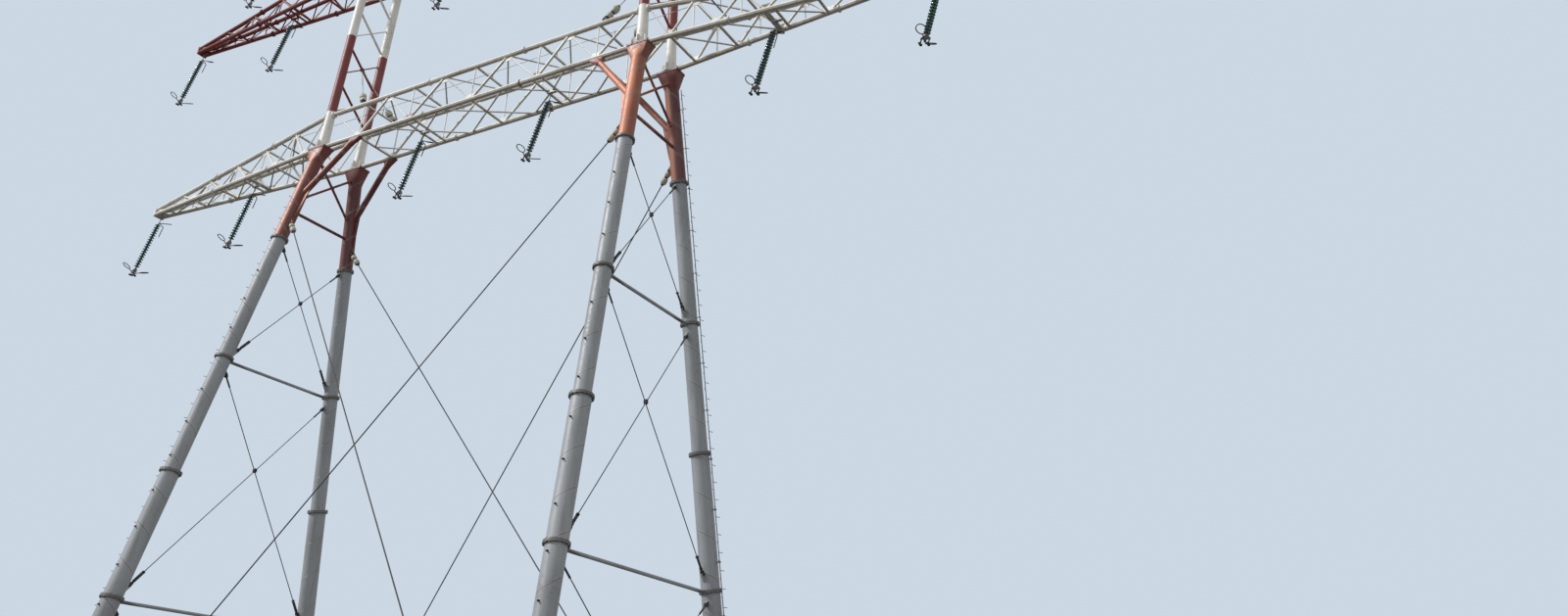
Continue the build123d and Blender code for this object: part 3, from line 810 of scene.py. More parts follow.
@dataclass(frozen=True)
class Stranded:
    """Wire rope, with the lay of its strands."""

    name: str
    paint: Paint
    pitch: float = 0.035
    relief: float = 0.0005

    def build(self) -> Material:
        """Make the material."""
        tree = ShaderTree(self.name)
        place = tree.place()
        x, y, z = tree.axes(place)
        lay = ((x * 0.7 + y * 0.9 + z) * (1.0 / self.pitch)).fraction()
        groove = ((lay - 0.5).absolute() * 2.0).ramp(0.55, 1.0)
        dirt = tree.noise(place, 3.0, 4.0).ramp(0.4, 0.7)
        shade = tree.mix(dirt * 0.4, self.paint, Paint.DIRT)
        return tree.shade(
            Base_Color=tree.mix(groove * 0.25, shade, Paint.DARK),
            Roughness=(groove * 0.2 + 0.6).clamped(),
            Metallic=0.2,
            Normal=tree.bumped(1.0 - groove, self.relief),
        )


@dataclass(frozen=True)
class ToughGlass:
    """Green toughened glass, with patches of dust."""

    name: str = "green_glass"
    relief: float = 0.001

    def build(self) -> Material:
        """Make the material."""
        tree = ShaderTree(self.name)
        place = tree.place()
        dust = tree.noise(place, 7.0, 4.0).ramp(0.45, 0.75)
        swirl = tree.noise(place, 30.0, 2.0)
        shade = tree.mix(swirl * 0.4, Paint.GLASS, Paint.DEEP_GLASS)
        return tree.shade(
            Base_Color=tree.mix(dust * 0.06, shade, Paint.CREAM),
            Roughness=(dust * 0.25 + 0.07).clamped(),
            Coat_Weight=0.3,
            Normal=tree.bumped(swirl, self.relief),
        )


class Finishes:
    """All finishes of the pylon, each made once."""

    def __init__(self) -> None:
        """Make the materials."""
        # Undersides of the white coats are darkened olive: partly grime and partly painted shade.
        worn_and_shaded_under = Weather(0.40, 0.45, 0.5, under=0.6)
        sooty = Weather(0.06, 0.3, 0.12)
        bands = ((20.38, 23.25), (25.90, 27.12), (29.45, 31.0))
        self.leg = LegPaint().build()
        self.column = BandedPaint("column_paint", Paint.WHITE, Paint.RED, bands).build()
        self.white = Coat("aged_white", Paint.WHITE, worn_and_shaded_under).build()
        self.stained = Coat("stained_white", Paint.OLIVE, worn_and_shaded_under, 0.6).build()
        self.red = Coat("dark_red", Paint.RED, Weather(0.2, 0.3)).build()
        self.orange = Coat("faded_orange", Paint.ORANGE).build()
        self.zinc = Coat("galvanised", Paint.ZINC, roughness=0.45, metallic=0.5).build()
        self.dark = Coat("blackened_steel", Paint.DARK, sooty, 0.7, gloss=0.12).build()
        self.cream = Coat("aged_cream", Paint.CREAM).build()
        self.glass = ToughGlass().build()
        self.pale_rope = Stranded("pale_rope", Paint.PALE).build()
        self.dark_rope = Stranded("dark_rope", Paint.CABLE).build()

    def of_node(self, node: str) -> Material:
        """The finish of a node of the frame or of a crossarm, by its name."""
        for word, material in (
            ("column", self.column),
            ("leg", self.leg),
            ("side_struts", self.leg),
            ("knee", self.leg),
            ("cable", self.dark_rope),
            ("step_rail", self.zinc),
            ("yokes", self.dark),
            ("insulators", self.glass),
            ("lower", self.white),
        ):
            if word in node:
                return material
        return self.red

    def dress_frame(self) -> None:
        """Give every node of the frame its finish."""
        for name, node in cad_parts.items():
            coated(node, self.of_node(name))
        LOG.info("finishes on %d frame nodes", len(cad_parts))


# Sub-assemblies


@dataclass
class AtCorner:
    """What belongs to one leg or column."""

    side: Side
    face: Face

    @property
    def corner(self) -> str:
        """The corner's name, as in the frame."""
        return f"{self.side.word}_{self.face.word}"


@dataclass
class FlangeBolts(AtCorner):
    """Rings of bolts through the flanges of one leg."""

    per_ring: int = 16
    sides: int = 6
    circle_out: float = 0.026
    profile: Profile = (
        (0.008, -0.053), (0.010, -0.044), (0.017, -0.044), (0.017, -0.0302),
        (0.017, 0.0302), (0.017, 0.044), (0.010, 0.044), (0.008, 0.053),
    )

    def places(self) -> List[Matrix]:
        """Where the bolts stand."""
        ahead = LAYOUT.leg_ahead(self.side, self.face)
        found = []
        for level in LAYOUT.flanges:
            ring = framed(LAYOUT.leg(self.side, self.face, level), ahead)
            circle = around(self.per_ring, LAYOUT.leg_r(level) + self.circle_out)
            found += [ring @ place for place in circle]
        return found

    def build(self, finishes: Finishes) -> Mesh:
        """Make the bolts as one piece."""
        parts = copies(lathe(self.profile, self.sides), self.places())
        return finished(f"bolts_{self.corner}", parts, finishes.zinc)


@dataclass
class LegStuds(AtCorner):
    """Short studs with pads up the outer face of one leg."""

    start_z: float = 1.60
    pitch: float = 0.88
    count: int = 16
    clear: float = 0.10
    sunk: float = 0.006
    stud: Profile = (
        (0.026, 0.0), (0.026, 0.012), (0.012, 0.014), (0.012, 0.040),
        (0.017, 0.042), (0.017, 0.052), (0.010, 0.055),
    )

    def places(self) -> List[Matrix]:
        """Where the studs stand, clear of the ring flanges."""
        out = ALONG * self.face.value
        found = []
        for index in range(self.count):
            level = self.start_z + index * self.pitch
            if min(abs(level - ring) for ring in LAYOUT.flanges) > self.clear:
                reach = LAYOUT.leg_r(level) - self.sunk
                found.append(framed(LAYOUT.leg(self.side, self.face, level) + out * reach, out))
        return found

    def build(self, finishes: Finishes) -> Mesh:
        """Make the studs as one piece."""
        parts = copies(lathe(self.stud), self.places())
        return finished(f"leg_studs_{self.corner}", parts, finishes.dark)


@dataclass
class Column(AtCorner):
    """One column: tube on a foot flange, with chord stubs and node plates."""

    tube_sides: int = 28
    stub_sides: int = 16
    foot_z: float = 19.084
    head_z: float = 30.765
    flange: Profile = ((0.200, 0.0), (0.200, 0.026), (0.163, 0.028), (0.150, 0.42))
    taper_end: float = 1.05
    splice: float = 6.9
    cap: float = 0.02
    stub: Profile = (
        (0.073, 0.0), (0.073, 0.148), (0.106, 0.150),
        (0.106, 0.180), (0.073, 0.182), (0.0725, 0.200),
    )
    fins: int = 6
    fin: Triple = (0.13, 0.012, 0.26)
    fin_out: float = 0.155
    fin_cut: float = 0.045
    fin_lift: float = 0.01
    node: Triple = (0.46, 0.016, 0.34)
    node_cut: float = 0.12

    def at(self, level: float) -> Vector:
        """The column's centre line at a level."""
        return LAYOUT.column(self.side, self.face, level)

    def tube(self) -> Mesh:
        """The tube with its foot flange and cap."""
        start, run = self.at(self.foot_z), self.at(self.head_z) - self.at(self.foot_z)
        radius = LAYOUT.column_r
        steps = (self.taper_end, self.splice, run.length - self.cap)
        profile = (*self.flange, *((radius, step) for step in steps), (radius * 0.9, run.length))
        return moved(lathe(profile, self.tube_sides), framed(start, run))

    def build(self, finishes: Finishes) -> Mesh:
        """Make the column in place of the frame's plain one."""
        stubs, nodes = [], []
        for arm in CROSSARMS:
            for high in (False, True):
                node = self.at(arm.level(high))
                nodes.append(Matrix.Translation(node))
                stubs.append(framed(node, ACROSS * -self.side.value))
                root, tip = LAYOUT.chord_ends(arm, self.side, self.face, high)
                ahead = (tip - root).normalized()
                stubs.append(framed(root - ahead * LAYOUT.node_half, ahead))
        foot = Matrix.Translation(self.at(self.foot_z + self.fin[2] / 2 + self.fin_lift))
        fins = [foot @ place for place in around(self.fins, self.fin_out)]
        parts = [self.tube(), *copies(lathe(self.stub, self.stub_sides), stubs)]
        parts += copies(plate(self.node, self.node_cut), nodes)
        parts += copies(plate(self.fin, self.fin_cut), fins)
        name = f"column_{self.corner}"
        return finished(f"{name}_tube", parts, finishes.column, "red_steel", name)


@dataclass
class TrussJoints:
    """Gusset plates and chord splices of one crossarm."""

    arm: Crossarm
    gusset: Triple = (0.34, 0.014, 0.20)
    gusset_cut: float = 0.05
    gusset_out: float = 0.085
    stain_half: float = 0.55
    stain_rise: float = 0.3
    splice_shares: Tuple[float, ...] = (0.29, 0.62)
    splice_x: float = 1.72
    splice_sides: int = 14
    splice: Profile = (
        (0.072, -0.045), (0.074, -0.024), (0.102, -0.022), (0.102, -0.003), (0.092, -0.002),
        (0.092, 0.002), (0.102, 0.003), (0.102, 0.022), (0.074, 0.024), (0.072, 0.045),
    )

    def chords(self) -> Iterator[Tuple[Way, Way, bool, Vector, Vector]]:
        """Side, face, whether it is a top one, root and tip of each arm's chords."""
        for side, face in CORNERS:
            for high in (False, True):
                yield (side, face, high, *LAYOUT.chord_ends(self.arm, side, face, high))

    def beam_gussets(self) -> List[Matrix]:
        """Places of the plates on the beam between the columns."""
        found = []
        for face in Face:
            for nodes, high in ((LAYOUT.beam_low, False), (LAYOUT.beam_high, True)):
                level = self.arm.level(high)
                y = LAYOUT.column(Side.RIGHT, face, level).y
                level += -self.gusset_out if high else self.gusset_out
                found += [shifted(x, y, level) for x in nodes]
        return found

    def arm_gussets(self) -> List[Matrix]:
        """Places of the plates on the two cantilever arms."""
        found = []
        for side, face, high, root, tip in self.chords():
            run = (tip - root).normalized()
            for index in range(int(high), LAYOUT.panels - 1):
                share = (index + (0.0 if high else 0.5)) / LAYOUT.panels
                spot = LAYOUT.chord(self.arm, side, face, share, high)
                other = LAYOUT.chord(self.arm, side, face, share, not high)
                across = (other - spot).normalized()
                across = (across - run * across.dot(run)).normalized()
                basis = based(run, across.cross(run), across)
                found.append(Matrix.Translation(spot + across * self.gusset_out) @ basis)
        return found

    def splices(self) -> List[Matrix]:
        """Places of the flanged splices in the chords."""
        found = []
        for side, face, high, root, tip in self.chords():
            found += [framed(root.lerp(tip, share), tip - root) for share in self.splice_shares]
            level = self.arm.level(high)
            y = LAYOUT.column(side, face, level).y
            found.append(framed(Vector((side.value * self.splice_x, y, level)), ACROSS))
        return found

    def under_string(self, spot: Vector) -> bool:
        """Whether a place is on a bottom chord beside an insulator string."""
        low = spot.z < self.arm.bottom + self.stain_rise
        return low and any(abs(spot.x - x) < self.stain_half for x in self.arm.places)

    def build(self, finishes: Finishes) -> Mesh:
        """Make the plates and splices as one piece, stained under the strings if white."""
        gussets = self.beam_gussets() + self.arm_gussets()
        parts = copies(plate(self.gusset, self.gusset_cut), gussets)
        parts += copies(lathe(self.splice, self.splice_sides), self.splices())
        coat = finishes.of_node(self.arm.name)
        piece = finished(f"{self.arm.name}_joints", parts, coat, self.arm.slot)
        if coat is finishes.white:
            patched(coated(piece, coat, finishes.stained), self.under_string)
        return piece


@dataclass
class Strings:
    """The insulator strings of one crossarm, with their fittings.

    A string is made hanging down from the origin, and then leant and carried to its place.
    """

    arm: Crossarm
    discs: int = 18
    disc_sides: int = 12
    nut_sides: int = 6
    ring_steps: int = 22
    top_steps: int = 18
    pitch: float = 0.085
    hanger: float = 0.26
    socket: float = 0.04
    lean: float = 17.0
    pin: float = 0.017
    seat: float = 0.0003
    yoke: float = 0.25
    clamp_half: float = 0.10
    disc: Profile = (
        (0.011, -0.087), (0.013, -0.064), (0.070, -0.072), (0.085, -0.082), (0.088, -0.072),
        (0.085, -0.060), (0.064, -0.046), (0.036, -0.037), (0.030, -0.010), (0.012, -0.003),
    )
    cap_r: float = 0.034
    shackle: Triple = (0.028, 0.009, -0.034)
    link: Triple = (0.024, 0.008, -0.078)
    stem: Profile = (
        (0.012, -0.262), (0.020, -0.250), (0.012, -0.225), (0.012, -0.125), (0.018, -0.100),
    )
    horn_tilt: float = 26.0
    horn_reach: float = 0.33
    horn_ring: float = 0.13
    horn_wire: float = 0.013
    horn_drop: float = 0.19
    horn_out: float = 0.012
    bracket: Triple = (0.050, 0.034, 0.115)
    bracket_cut: float = 0.010
    bracket_lift: float = 0.045
    top_ring: float = 0.090
    top_root: Triple = (0.0, 0.010, -0.235)
    top_neck: Triple = (0.0, 0.215, -0.165)
    top_centre: Triple = (0.0, 0.300, -0.135)
    top_elbow: Triple = (0.0, 0.190, -0.300)
    top_tip: Triple = (0.0, 0.200, -0.650)
    stirrup: Pair = (0.031, 0.006)
    stirrup_y: float = 0.036
    nut: Profile = ((0.011, 0.0), (0.013, 0.003), (0.013, 0.014), (0.009, 0.018))
    nut_lift: float = 0.004

    @property
    def low(self) -> float:
        """Distance down a string to the last disc's pin."""
        return self.hanger + self.discs * self.pitch

    @property
    def end(self) -> float:
        """Distance down a string to the head of its yoke."""
        return self.low + self.socket

    def hung(self) -> List[Matrix]:
        """Frames of the strings: Z runs up along each, Y along the line."""
        lean = math.radians(self.lean)
        hang_z = self.arm.bottom - LAYOUT.chord_r - self.seat - self.pin * math.sin(lean)
        aside = Vector((math.cos(lean), 0.0, -math.sin(lean)))
        basis = based(aside, ALONG, Vector((math.sin(lean), 0.0, math.cos(lean))))
        return [shifted(x, 0.0, hang_z) @ basis for x in self.arm.places]

    def fittings(self) -> List[Mesh]:
        """Shackle, link and ball eye above the discs, and the socket below them."""
        rings = []
        for (radius, wire, level), axis in ((self.shackle, "X"), (self.link, "Y")):
            place = shifted(0.0, 0.0, level) @ spun(QUARTER, axis)
            rings.append(moved(loop(radius, wire), place))
        cup = (
            (0.020, -self.end),
            (0.026, -self.low - 0.030),
            (0.026, -self.low - 0.012),
            (0.014, -self.low),
        )
        return rings + [lathe(self.stem), lathe(cup)]

    def build_strings(self, finishes: Finishes) -> Mesh:
        """Make the strings in place of the frame's plain ones."""
        disc = coated(lathe(self.disc, self.disc_sides), finishes.glass, finishes.dark)
        patched(disc, lambda spot: spot.xy.length <= self.cap_r)
        drops = [-self.hanger - index * self.pitch for index in range(self.discs)]
        parts = copies(disc, [shifted(0.0, 0.0, drop) for drop in drops])
        parts += [coated(part, finishes.zinc) for part in self.fittings()]
        strings = copies(joined("one_string", parts), self.hung())
        name, node = f"{self.arm.name}_glass_strings", f"{self.arm.name}_insulators"
        return finished(name, strings, finishes.glass, "green_glass", node, 40.0)

    def ring(self, root: Vector, centre: Vector, radius: float, steps: int) -> Mesh:
        """A horn's ring around a centre, in the plane of X and of the way to it from a root."""
        normal = ACROSS.cross((centre - root).normalized())
        return moved(loop(radius, self.horn_wire, steps), framed(centre, normal))

    def racket(self, way: float) -> List[Mesh]:
        """One racket horn at the foot of a string, towards one side along the line."""
        tilt = math.radians(self.horn_tilt)
        out = Vector((0.0, way * math.cos(tilt), math.sin(tilt)))
        root = Vector((0.0, way * self.horn_out, -self.end - self.horn_drop))
        neck = root + out * (self.horn_reach - self.horn_ring)
        ring = self.ring(root, root + out * self.horn_reach, self.horn_ring, self.ring_steps)
        return [rod(root, neck, self.horn_wire), ring]

    def top_horn(self) -> List[Mesh]:
        """Loop and hanging rod at the head of a string."""
        root, neck, elbow, tip = map(
            Vector, (self.top_root, self.top_neck, self.top_elbow, self.top_tip)
        )
        ring = self.ring(root, Vector(self.top_centre), self.top_ring, self.top_steps)
        runs = ((root, neck), (root, elbow), (elbow, tip))
        return [ring, *(rod(start, end, self.horn_wire) for start, end in runs)]

    def clamp_bolts(self) -> List[Mesh]:
        """Stirrups with nuts over the two conductor clamps of a yoke."""
        level = -self.end - self.seat - self.yoke
        radius, wire = self.stirrup
        rings, nuts = [], []
        for x in (-self.clamp_half, self.clamp_half):
            for y in (-self.stirrup_y, self.stirrup_y):
                rings.append(shifted(x, y, level) @ spun(QUARTER, "X"))
                for aside in (-radius, radius):
                    nuts.append(shifted(x + aside, y, level + self.nut_lift))
        return copies(loop(radius, wire), rings) + copies(lathe(self.nut, self.nut_sides), nuts)

    def build_horns(self, finishes: Finishes) -> Mesh:
        """Make the arcing horns and clamp stirrups as one piece."""
        level = self.bracket_lift - self.end - self.horn_drop
        bracket = moved(plate(self.bracket, self.bracket_cut), shifted(0.0, 0.0, level))
        parts = self.racket(1.0) + self.racket(-1.0) + self.top_horn() + self.clamp_bolts()
        sets = copies(joined("one_horn_set", parts + [bracket]), self.hung())
        return finished(f"{self.arm.name}_horns", sets, finishes.dark)


LUG_REACH = 0.268


def lug_frame(start: Vector, end: Vector, side: Way, face: Way, aside: Vector = UP) -> Matrix:
    """Frame at a cable's end by its lug on a leg; its Z axis runs away along the cable.

    Args:
        start: Where the cable's line meets the leg's.
        end: The same at the cable's other end.
        side: The leg's side.
        face: The leg's face.
        aside: Where the frame's Y axis points, as nearly as it can.

    Returns:
        The frame.
    """
    ahead = (end - start).normalized()
    reach = LUG_REACH / LAYOUT.leg_ahead(side, face).cross(ahead).length
    return framed(start + ahead * reach, ahead, aside)


def fork(cheek: Triple, cut: float, place: Pair, pin: Triple, sides: int = 8) -> List[Mesh]:
    """Two cheeks with a pin through them along Y.

    Args:
        cheek: Width, thickness and height of a cheek.
        cut: How far its corners are cut back.
        place: How far out and at what level the cheeks are.
        pin: The pin's half length, level and radius.
        sides: Faces around the pin.

    Returns:
        The cheeks and the pin.
    """
    (out, lift), (reach, level, radius) = place, pin
    first, last = (Vector((0.0, way * reach, level)) for way in (-1, 1))
    cheeks = copies(plate(cheek, cut), [shifted(0.0, way * out, lift) for way in (-1, 1)])
    return [*cheeks, rod(first, last, radius, sides)]


@dataclass
class PortalFittings:
    """Clevises and barrel sockets at both ends of the portal cables."""

    barrel_sides: int = 20
    pin_sides: int = 10
    top_z: float = 16.65
    foot_z: float = 0.40
    aside: float = 0.020
    barrel: Profile = (
        (0.040, 0.008), (0.062, 0.016), (0.076, 0.040), (0.080, 0.080), (0.074, 0.125),
        (0.054, 0.150), (0.050, 0.156), (0.050, 0.184), (0.056, 0.190), (0.078, 0.220),
        (0.084, 0.270), (0.080, 0.330), (0.062, 0.368), (0.046, 0.374), (0.040, 0.400),
        (0.030, 0.410),
    )
    mouth: float = 0.014
    necks: Tuple[float, ...] = (0.170, 0.392)
    neck_half: float = 0.018
    cheek: Triple = (0.110, 0.014, 0.170)
    cheek_cut: float = 0.03
    cheek_place: Pair = (0.029, -0.045)
    pin: Triple = (0.051, -0.08, 0.022)

    def ends(self) -> List[Matrix]:
        """Frames at the cable ends, with the Z axis away from the leg."""
        found = []
        for side, face in CORNERS:
            shift = ALONG * (side.value * self.aside)
            top = LAYOUT.leg(side, face, self.top_z) + shift
            foot = LAYOUT.leg(side.opposite, face, self.foot_z) + shift
            found.append(lug_frame(top, foot, side, face))
            found.append(lug_frame(foot, top, side.opposite, face))
        return found

    def dark_part(self, spot: Vector) -> bool:
        """Whether a place on the barrel is its mouth or one of its necks."""
        from_neck = min(abs(spot.z - neck) for neck in self.necks)
        return spot.z < self.mouth or from_neck < self.neck_half

    def socket(self, finishes: Finishes) -> Mesh:
        """One barrel socket with its fork and pin."""
        barrel = coated(lathe(self.barrel, self.barrel_sides), finishes.cream, finishes.dark)
        *cheeks, pin = fork(
            self.cheek, self.cheek_cut, self.cheek_place, self.pin, self.pin_sides
        )
        for part in (*cheeks, pin):
            moved(part, spun(QUARTER, "Z"))
            coated(part, finishes.zinc if part is pin else finishes.dark)
        return joined("one_socket", [patched(barrel, self.dark_part), *cheeks, pin])

    def build(self, finishes: Finishes) -> Mesh:
        """Make the fittings as one piece."""
        parts = copies(self.socket(finishes), self.ends())
        return finished("portal_cable_sockets", parts, finishes.dark)


@dataclass
class SideFittings:
    """Turnbuckles, forks and crossing clamps on the cables between the legs of one side."""

    side: Side
    feet: Tuple[float, ...] = (0.750, 6.060, 12.110)
    tops: Tuple[float, ...] = (6.060, 12.110, 15.950)
    aside: float = 0.016
    bar: Triple = (0.030, 0.10, 0.009)
    body: float = 0.28
    bar_sides: int = 6
    nut_sides: int = 10
    nut: Profile = ((0.030, 0.0), (0.038, 0.006), (0.038, 0.034), (0.026, 0.042))
    nuts_z: Pair = (0.085, 0.365)
    cheek: Triple = (0.07, 0.010, 0.13)
    cheek_place: Pair = (0.027, 0.0)
    pin: Triple = (0.045, -0.03, 0.014)
    clamp: Triple = (0.08, 0.070, 0.11)
    cut: float = 0.02

    def runs(self) -> List[Tuple[Vector, Vector, Way]]:
        """Top, foot and face of the top of each cable."""
        found = []
        for low, high in zip(self.feet, self.tops):
            for face in Face:
                shift = ACROSS * (face.value * self.aside)
                top = LAYOUT.leg(self.side, face, high) + shift
                found.append((top, LAYOUT.leg(self.side, face.opposite, low) + shift, face))
        return found

    def fork(self) -> List[Mesh]:
        """Fork and pin around a lug."""
        return fork(self.cheek, self.cut, self.cheek_place, self.pin)

    def turnbuckle(self) -> Mesh:
        """Open body of two bars between two end nuts, with a fork at the lug."""
        out, foot, radius = self.bar
        parts = []
        for x in (-out, out):
            low = Vector((x, 0.0, foot))
            parts.append(rod(low, low + UP * self.body, radius, self.bar_sides))
        nuts = [shifted(0.0, 0.0, z) for z in self.nuts_z]
        parts += copies(lathe(self.nut, self.nut_sides), nuts)
        return joined("one_turnbuckle", parts + self.fork())

    def build(self, finishes: Finishes) -> Mesh:
        """Make the fittings of one side as one piece."""
        runs, lows, highs = self.runs(), [], []
        for top, foot, face in runs:
            lows.append(lug_frame(foot, top, self.side, face.opposite, ACROSS))
            highs.append(lug_frame(top, foot, self.side, face, ACROSS))
        parts = copies(self.turnbuckle(), lows) + copies(joined("one_fork", self.fork()), highs)
        clamps = []
        up = LAYOUT.leg_ahead(self.side, Face.BACK)
        for top, foot, _ in runs[::2]:
            middle = top.lerp(foot, top.y / (top.y - foot.y))
            middle.x = self.side.value * abs(middle.x + self.aside)
            clamps.append(framed(middle, Vector((up.x, 0.0, up.z)), ACROSS))
        parts += copies(plate(self.clamp, self.cut), clamps)
        name = f"side_cable_fittings_{self.side.word}"
        return finished(name, parts, finishes.dark)


@dataclass
class StepRail(AtCorner):
    """Pegs and bracket clamps on the step rail of one leg."""

    start_z: float = 0.62
    stop_z: float = 18.50
    reach: float = 0.288
    pitch: float = 0.19
    first: float = 0.08
    spread: Pair = (0.35, 0.94)
    brackets: int = 16
    peg_sides: int = 5
    clamp: Triple = (0.05, 0.036, 0.048)
    cut: float = 0.010
    peg: Profile = ((0.006, 0.0), (0.0075, 0.004), (0.0075, 0.098), (0.011, 0.101), (0.009, 0.112))

    def point(self, height: float) -> Vector:
        """The rail's centre line at a height above its foot."""
        spot = LAYOUT.leg(self.side, self.face, self.start_z + height)
        return spot + ACROSS * (self.side.value * self.reach)

    def build(self, finishes: Finishes) -> Mesh:
        """Make the pegs and clamps as one piece."""
        rise = self.stop_z - self.start_z
        pegs = []
        for index in range(int(rise / self.pitch)):
            x, y = self.spread
            ahead = Vector((self.side.value * x, y if index % 2 else -y, 0.0))
            pegs.append(framed(self.point(self.first + index * self.pitch), ahead))
        heights = [rise * (index + 0.5) / self.brackets for index in range(self.brackets)]
        clamps = [Matrix.Translation(self.point(height)) for height in heights]
        parts = copies(lathe(self.peg, self.peg_sides), pegs)
        parts += copies(plate(self.clamp, self.cut), clamps)
        return finished(f"step_pegs_{self.corner}", parts, finishes.zinc, "rail_steel")


@dataclass
class Lifeline:
    """Taut safety line above the lower crossarm, on short posts."""

    ends_x: Pair = (-7.9, 7.6)
    level: float = 20.50
    roof_z: float = 20.27
    line_sides: int = 6
    radius: float = 0.009
    bar_r: float = 0.024
    post_r: float = 0.012
    post: Profile = ((0.030, 0.020), (0.030, 0.036), (0.011, 0.040), (0.011, 0.23), (0.018, 0.25))

    def anchors(self) -> List[Mesh]:
        """Crossbars on the arms' top chords with posts that hold the line's ends."""
        arm = CROSSARMS[0]
        parts = []
        for x in self.ends_x:
            side = Side.RIGHT if x > 0.0 else Side.LEFT
            root, tip = (abs(end.x) for end in LAYOUT.chord_ends(arm, side, Face.BACK, True))
            share = (abs(x) - root) / (tip - root)
            front, back = (LAYOUT.chord(arm, side, face, share, True) for face in Face)
            head = Vector((x, 0.0, self.level + self.post_r))
            parts.append(rod(front, back, self.bar_r))
            parts.append(rod(front.lerp(back, 0.5), head, self.post_r))
        return parts

    def build(self, finishes: Finishes) -> Mesh:
        """Make the line and its posts as one piece."""
        start, end = (Vector((x, 0.0, self.level)) for x in self.ends_x)
        line = rod(start, end, self.radius, self.line_sides)
        places = [shifted(x, 0.0, self.roof_z) for x in LAYOUT.beam_low]
        posts = copies(lathe(self.post), places) + self.anchors()
        parts = [coated(line, finishes.pale_rope), *(coated(post, finishes.zinc) for post in posts)]
        return finished("lifeline", parts, finishes.zinc)


@dataclass
class EndStays:
    """Stays from the lower beam's top chords up to the crossing of the column braces."""

    side: Side
    foot: Triple = (4.32, 0.688, 20.27)
    head: Triple = (5.625, 0.0, 22.40)
    rope: Triple = (0.68, 0.05, 0.013)
    lug: Triple = (0.11, 0.020, 0.20)
    lug_cut: float = 0.04
    lug_lift: float = 0.13
    socket_lift: float = 0.23
    scale: float = 1.25
    clip: Profile = ((0.018, 0.0), (0.030, 0.006), (0.030, 0.060), (0.018, 0.070))
    clip_drop: float = 0.14
    clip_sides: int = 10
    node: Triple = (0.17, 0.018, 0.17)
    node_cut: float = 0.05

    def build(self, finishes: Finishes) -> Mesh:
        """Make both stays with their sockets and lugs as one piece."""
        x, y, z = self.foot
        head = Vector(self.head)
        head.x *= self.side.value
        start, stop, radius = self.rope
        parts, frames = [], []
        for face in Face:
            foot = Vector((self.side.value * x, face.value * y, z))
            ahead = (head - foot).normalized()
            base = framed(foot, ahead)
            frames.append(base @ shifted(0.0, 0.0, self.socket_lift) @ Matrix.Scale(self.scale, 4))
            rope = rod(foot + ahead * start, head - ahead * stop, radius)
            lug = moved(plate(self.lug, self.lug_cut), base @ shifted(0.0, 0.0, self.lug_lift))
            clip = lathe(self.clip, self.clip_sides)
            moved(clip, framed(head - ahead * self.clip_drop, ahead))
            coats = finishes.pale_rope, finishes.white, finishes.dark
            parts += [coated(*pair) for pair in zip((rope, lug, clip), coats)]
        parts += copies(PortalFittings().socket(finishes), frames)
        place = Matrix.Translation(head) @ spun(QUARTER, "Z")
        parts.append(coated(moved(plate(self.node, self.node_cut), place), finishes.red))
        return finished(f"end_stays_{self.side.word}", parts, finishes.dark, "cable_steel")


@dataclass
class SideBraceJoints:
    """Plate and collars where the tubes between the legs of one side cross."""

    side: Side
    cross: Pair = (18.79, 17.24)
    node: Triple = (0.16, 0.018, 0.13)
    cut: float = 0.04
    collar_out: float = 0.33
    ring_sides: int = 14
    ring: Profile = ((0.038, -0.02), (0.048, -0.015), (0.048, 0.015), (0.038, 0.02))

    def build(self, finishes: Finishes) -> Mesh:
        """Make the crossing plate and its collars as one piece."""
        top = LAYOUT.leg(self.side, Face.FRONT, self.cross[0])
        foot = LAYOUT.leg(self.side, Face.BACK, self.cross[1])
        middle = top.lerp(foot, top.y / (top.y - foot.y))
        place = Matrix.Translation(middle) @ spun(QUARTER, "Z")
        collars = []
        for high in self.cross:
            for face in Face:
                end = LAYOUT.leg(self.side, face, high)
                ahead = (middle - end).normalized()
                collars.append(framed(end + ahead * self.collar_out, ahead))
        parts = copies(lathe(self.ring, self.ring_sides), collars)
        parts.append(moved(plate(self.node, self.cut), place))
        name = f"side_brace_joints_{self.side.word}"
        return finished(name, parts, finishes.orange, "orange_steel")


# Studio


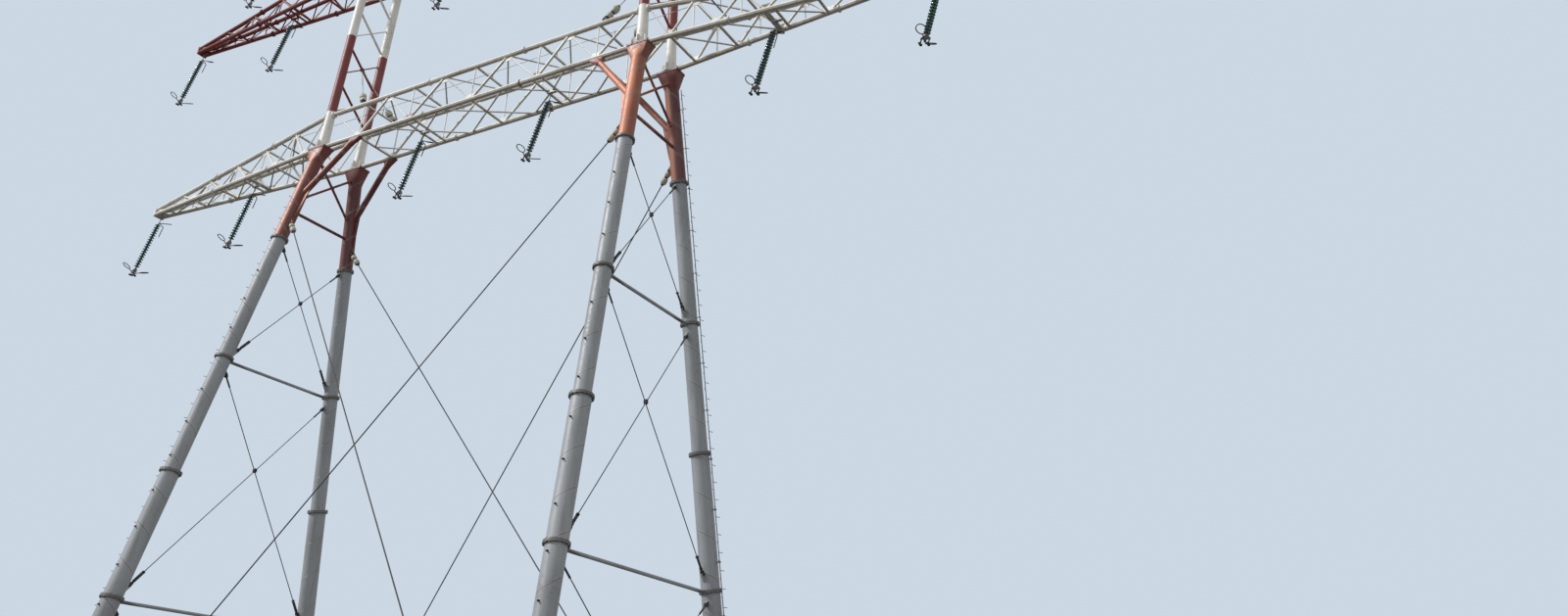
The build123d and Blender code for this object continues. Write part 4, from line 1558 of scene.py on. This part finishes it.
@dataclass
class Studio:
    """Pale floor and surroundings, soft light, and the camera at the photograph's angle."""

    eye: Triple = (19.797, -19.679, 1.728)
    yaw: float = -27.008
    pitch: float = 30.153
    lens: float = 25.713
    sensor: float = 36.0
    shift: Pair = (-0.0067, -0.0861)
    clip_end: float = 600.0
    backdrop: Colour = (0.60, 0.68, 0.77)
    floor_colour: Colour = (0.56, 0.57, 0.56)
    ground_colour: Colour = (0.13, 0.13, 0.12)
    floor_size: float = 320.0
    sky: float = 0.62
    lamps: Tuple[Tuple[str, float, float, Triple], ...] = (
        ("key", 3.1, 5.0, (0.55, 0.50, -0.62)),
        ("fill", 0.25, 40.0, (-0.70, 0.60, -0.35)),
    )

    def stand(self, name: str, data: Any, ahead: Vector) -> bpy.types.Object:
        """Put a lamp or camera in the scene, looking ahead."""
        holder = bpy.data.objects.new(name, data)
        bpy.context.scene.collection.objects.link(holder)
        holder.rotation_mode = "QUATERNION"
        holder.rotation_quaternion = ahead.to_track_quat("-Z", "Y")
        return holder

    def build_camera(self) -> None:
        """Stand the camera where the photograph was taken."""
        camera = bpy.data.cameras.new("photo_camera")
        camera.sensor_width = self.sensor
        camera.lens = self.lens
        camera.shift_x, camera.shift_y = self.shift
        camera.clip_end = self.clip_end
        yaw, pitch = math.radians(self.yaw), math.radians(self.pitch)
        level = math.cos(pitch)
        ahead = Vector((math.sin(yaw) * level, math.cos(yaw) * level, math.sin(pitch)))
        holder = self.stand("photo_camera", camera, ahead)
        holder.location = self.eye
        bpy.context.scene.camera = holder

    def build_lamps(self) -> None:
        """Hang the distant soft lamps."""
        for name, energy, angle, ahead in self.lamps:
            lamp = bpy.data.lights.new(name, "SUN")
            lamp.energy = energy
            lamp.angle = math.radians(angle)
            self.stand(name, lamp, Vector(ahead))

    def build_sky(self) -> None:
        """Soft white light from all round, with a pale backdrop for the eye."""
        world = bpy.data.worlds.new("studio")
        world.use_nodes = True
        bpy.context.scene.world = world
        nodes, links = world.node_tree.nodes, world.node_tree.links
        light = nodes["Background"]
        light.inputs["Color"].default_value = (1.0, 1.0, 1.0, 1.0)
        light.inputs["Strength"].default_value = self.sky
        seen = nodes.new("ShaderNodeBackground")
        seen.inputs["Color"].default_value = (*self.backdrop, 1.0)
        rays = nodes.new("ShaderNodeLightPath")
        both = nodes.new("ShaderNodeMixShader")
        for slot, node in enumerate((rays, light, seen)):
            links.new(node.outputs[0], both.inputs[slot])
        links.new(both.outputs[0], nodes["World Output"].inputs["Surface"])

    def build_floor(self) -> None:
        """Lay a wide floor, pale to the eye and darker in the light that it throws back."""
        deselect()
        bpy.ops.mesh.primitive_plane_add(size=self.floor_size, location=(0.0, 0.0, 0.0))
        floor = bpy.context.active_object
        floor.name = "floor"
        tree = ShaderTree("pale_floor")
        cloud = tree.noise(tree.place(), 0.4)
        shade = tree.mix(cloud * 0.15, self.floor_colour, self.backdrop)
        to_the_eye = tree.node("ShaderNodeLightPath", {}, {})
        shade = tree.mix(to_the_eye, self.ground_colour, shade)
        coated(floor, tree.shade(Base_Color=shade, Roughness=0.8))

    def build(self) -> None:
        """Set up the whole studio."""
        bpy.context.scene.view_settings.view_transform = "Standard"
        self.build_camera()
        self.build_sky()
        self.build_lamps()
        self.build_floor()


def main() -> None:
    """Build the studio, the finishes and each sub-assembly."""
    logging.basicConfig(level=logging.INFO, format="%(name)s: %(message)s")
    deselect()
    Studio().build()
    finishes = Finishes()
    finishes.dress_frame()
    for side, face in CORNERS:
        for kind in (FlangeBolts, LegStuds, Column):
            kind(side, face).build(finishes)
    for arm in CROSSARMS:
        TrussJoints(arm).build(finishes)
        Strings(arm).build_strings(finishes)
        Strings(arm).build_horns(finishes)
    PortalFittings().build(finishes)
    for side in Side:
        for kind in (SideFittings, SideBraceJoints, EndStays):
            kind(side).build(finishes)
    StepRail(Side.LEFT, Face.FRONT).build(finishes)
    StepRail(Side.RIGHT, Face.BACK).build(finishes)
    Lifeline().build(finishes)


if __name__ == "__main__":
    main()
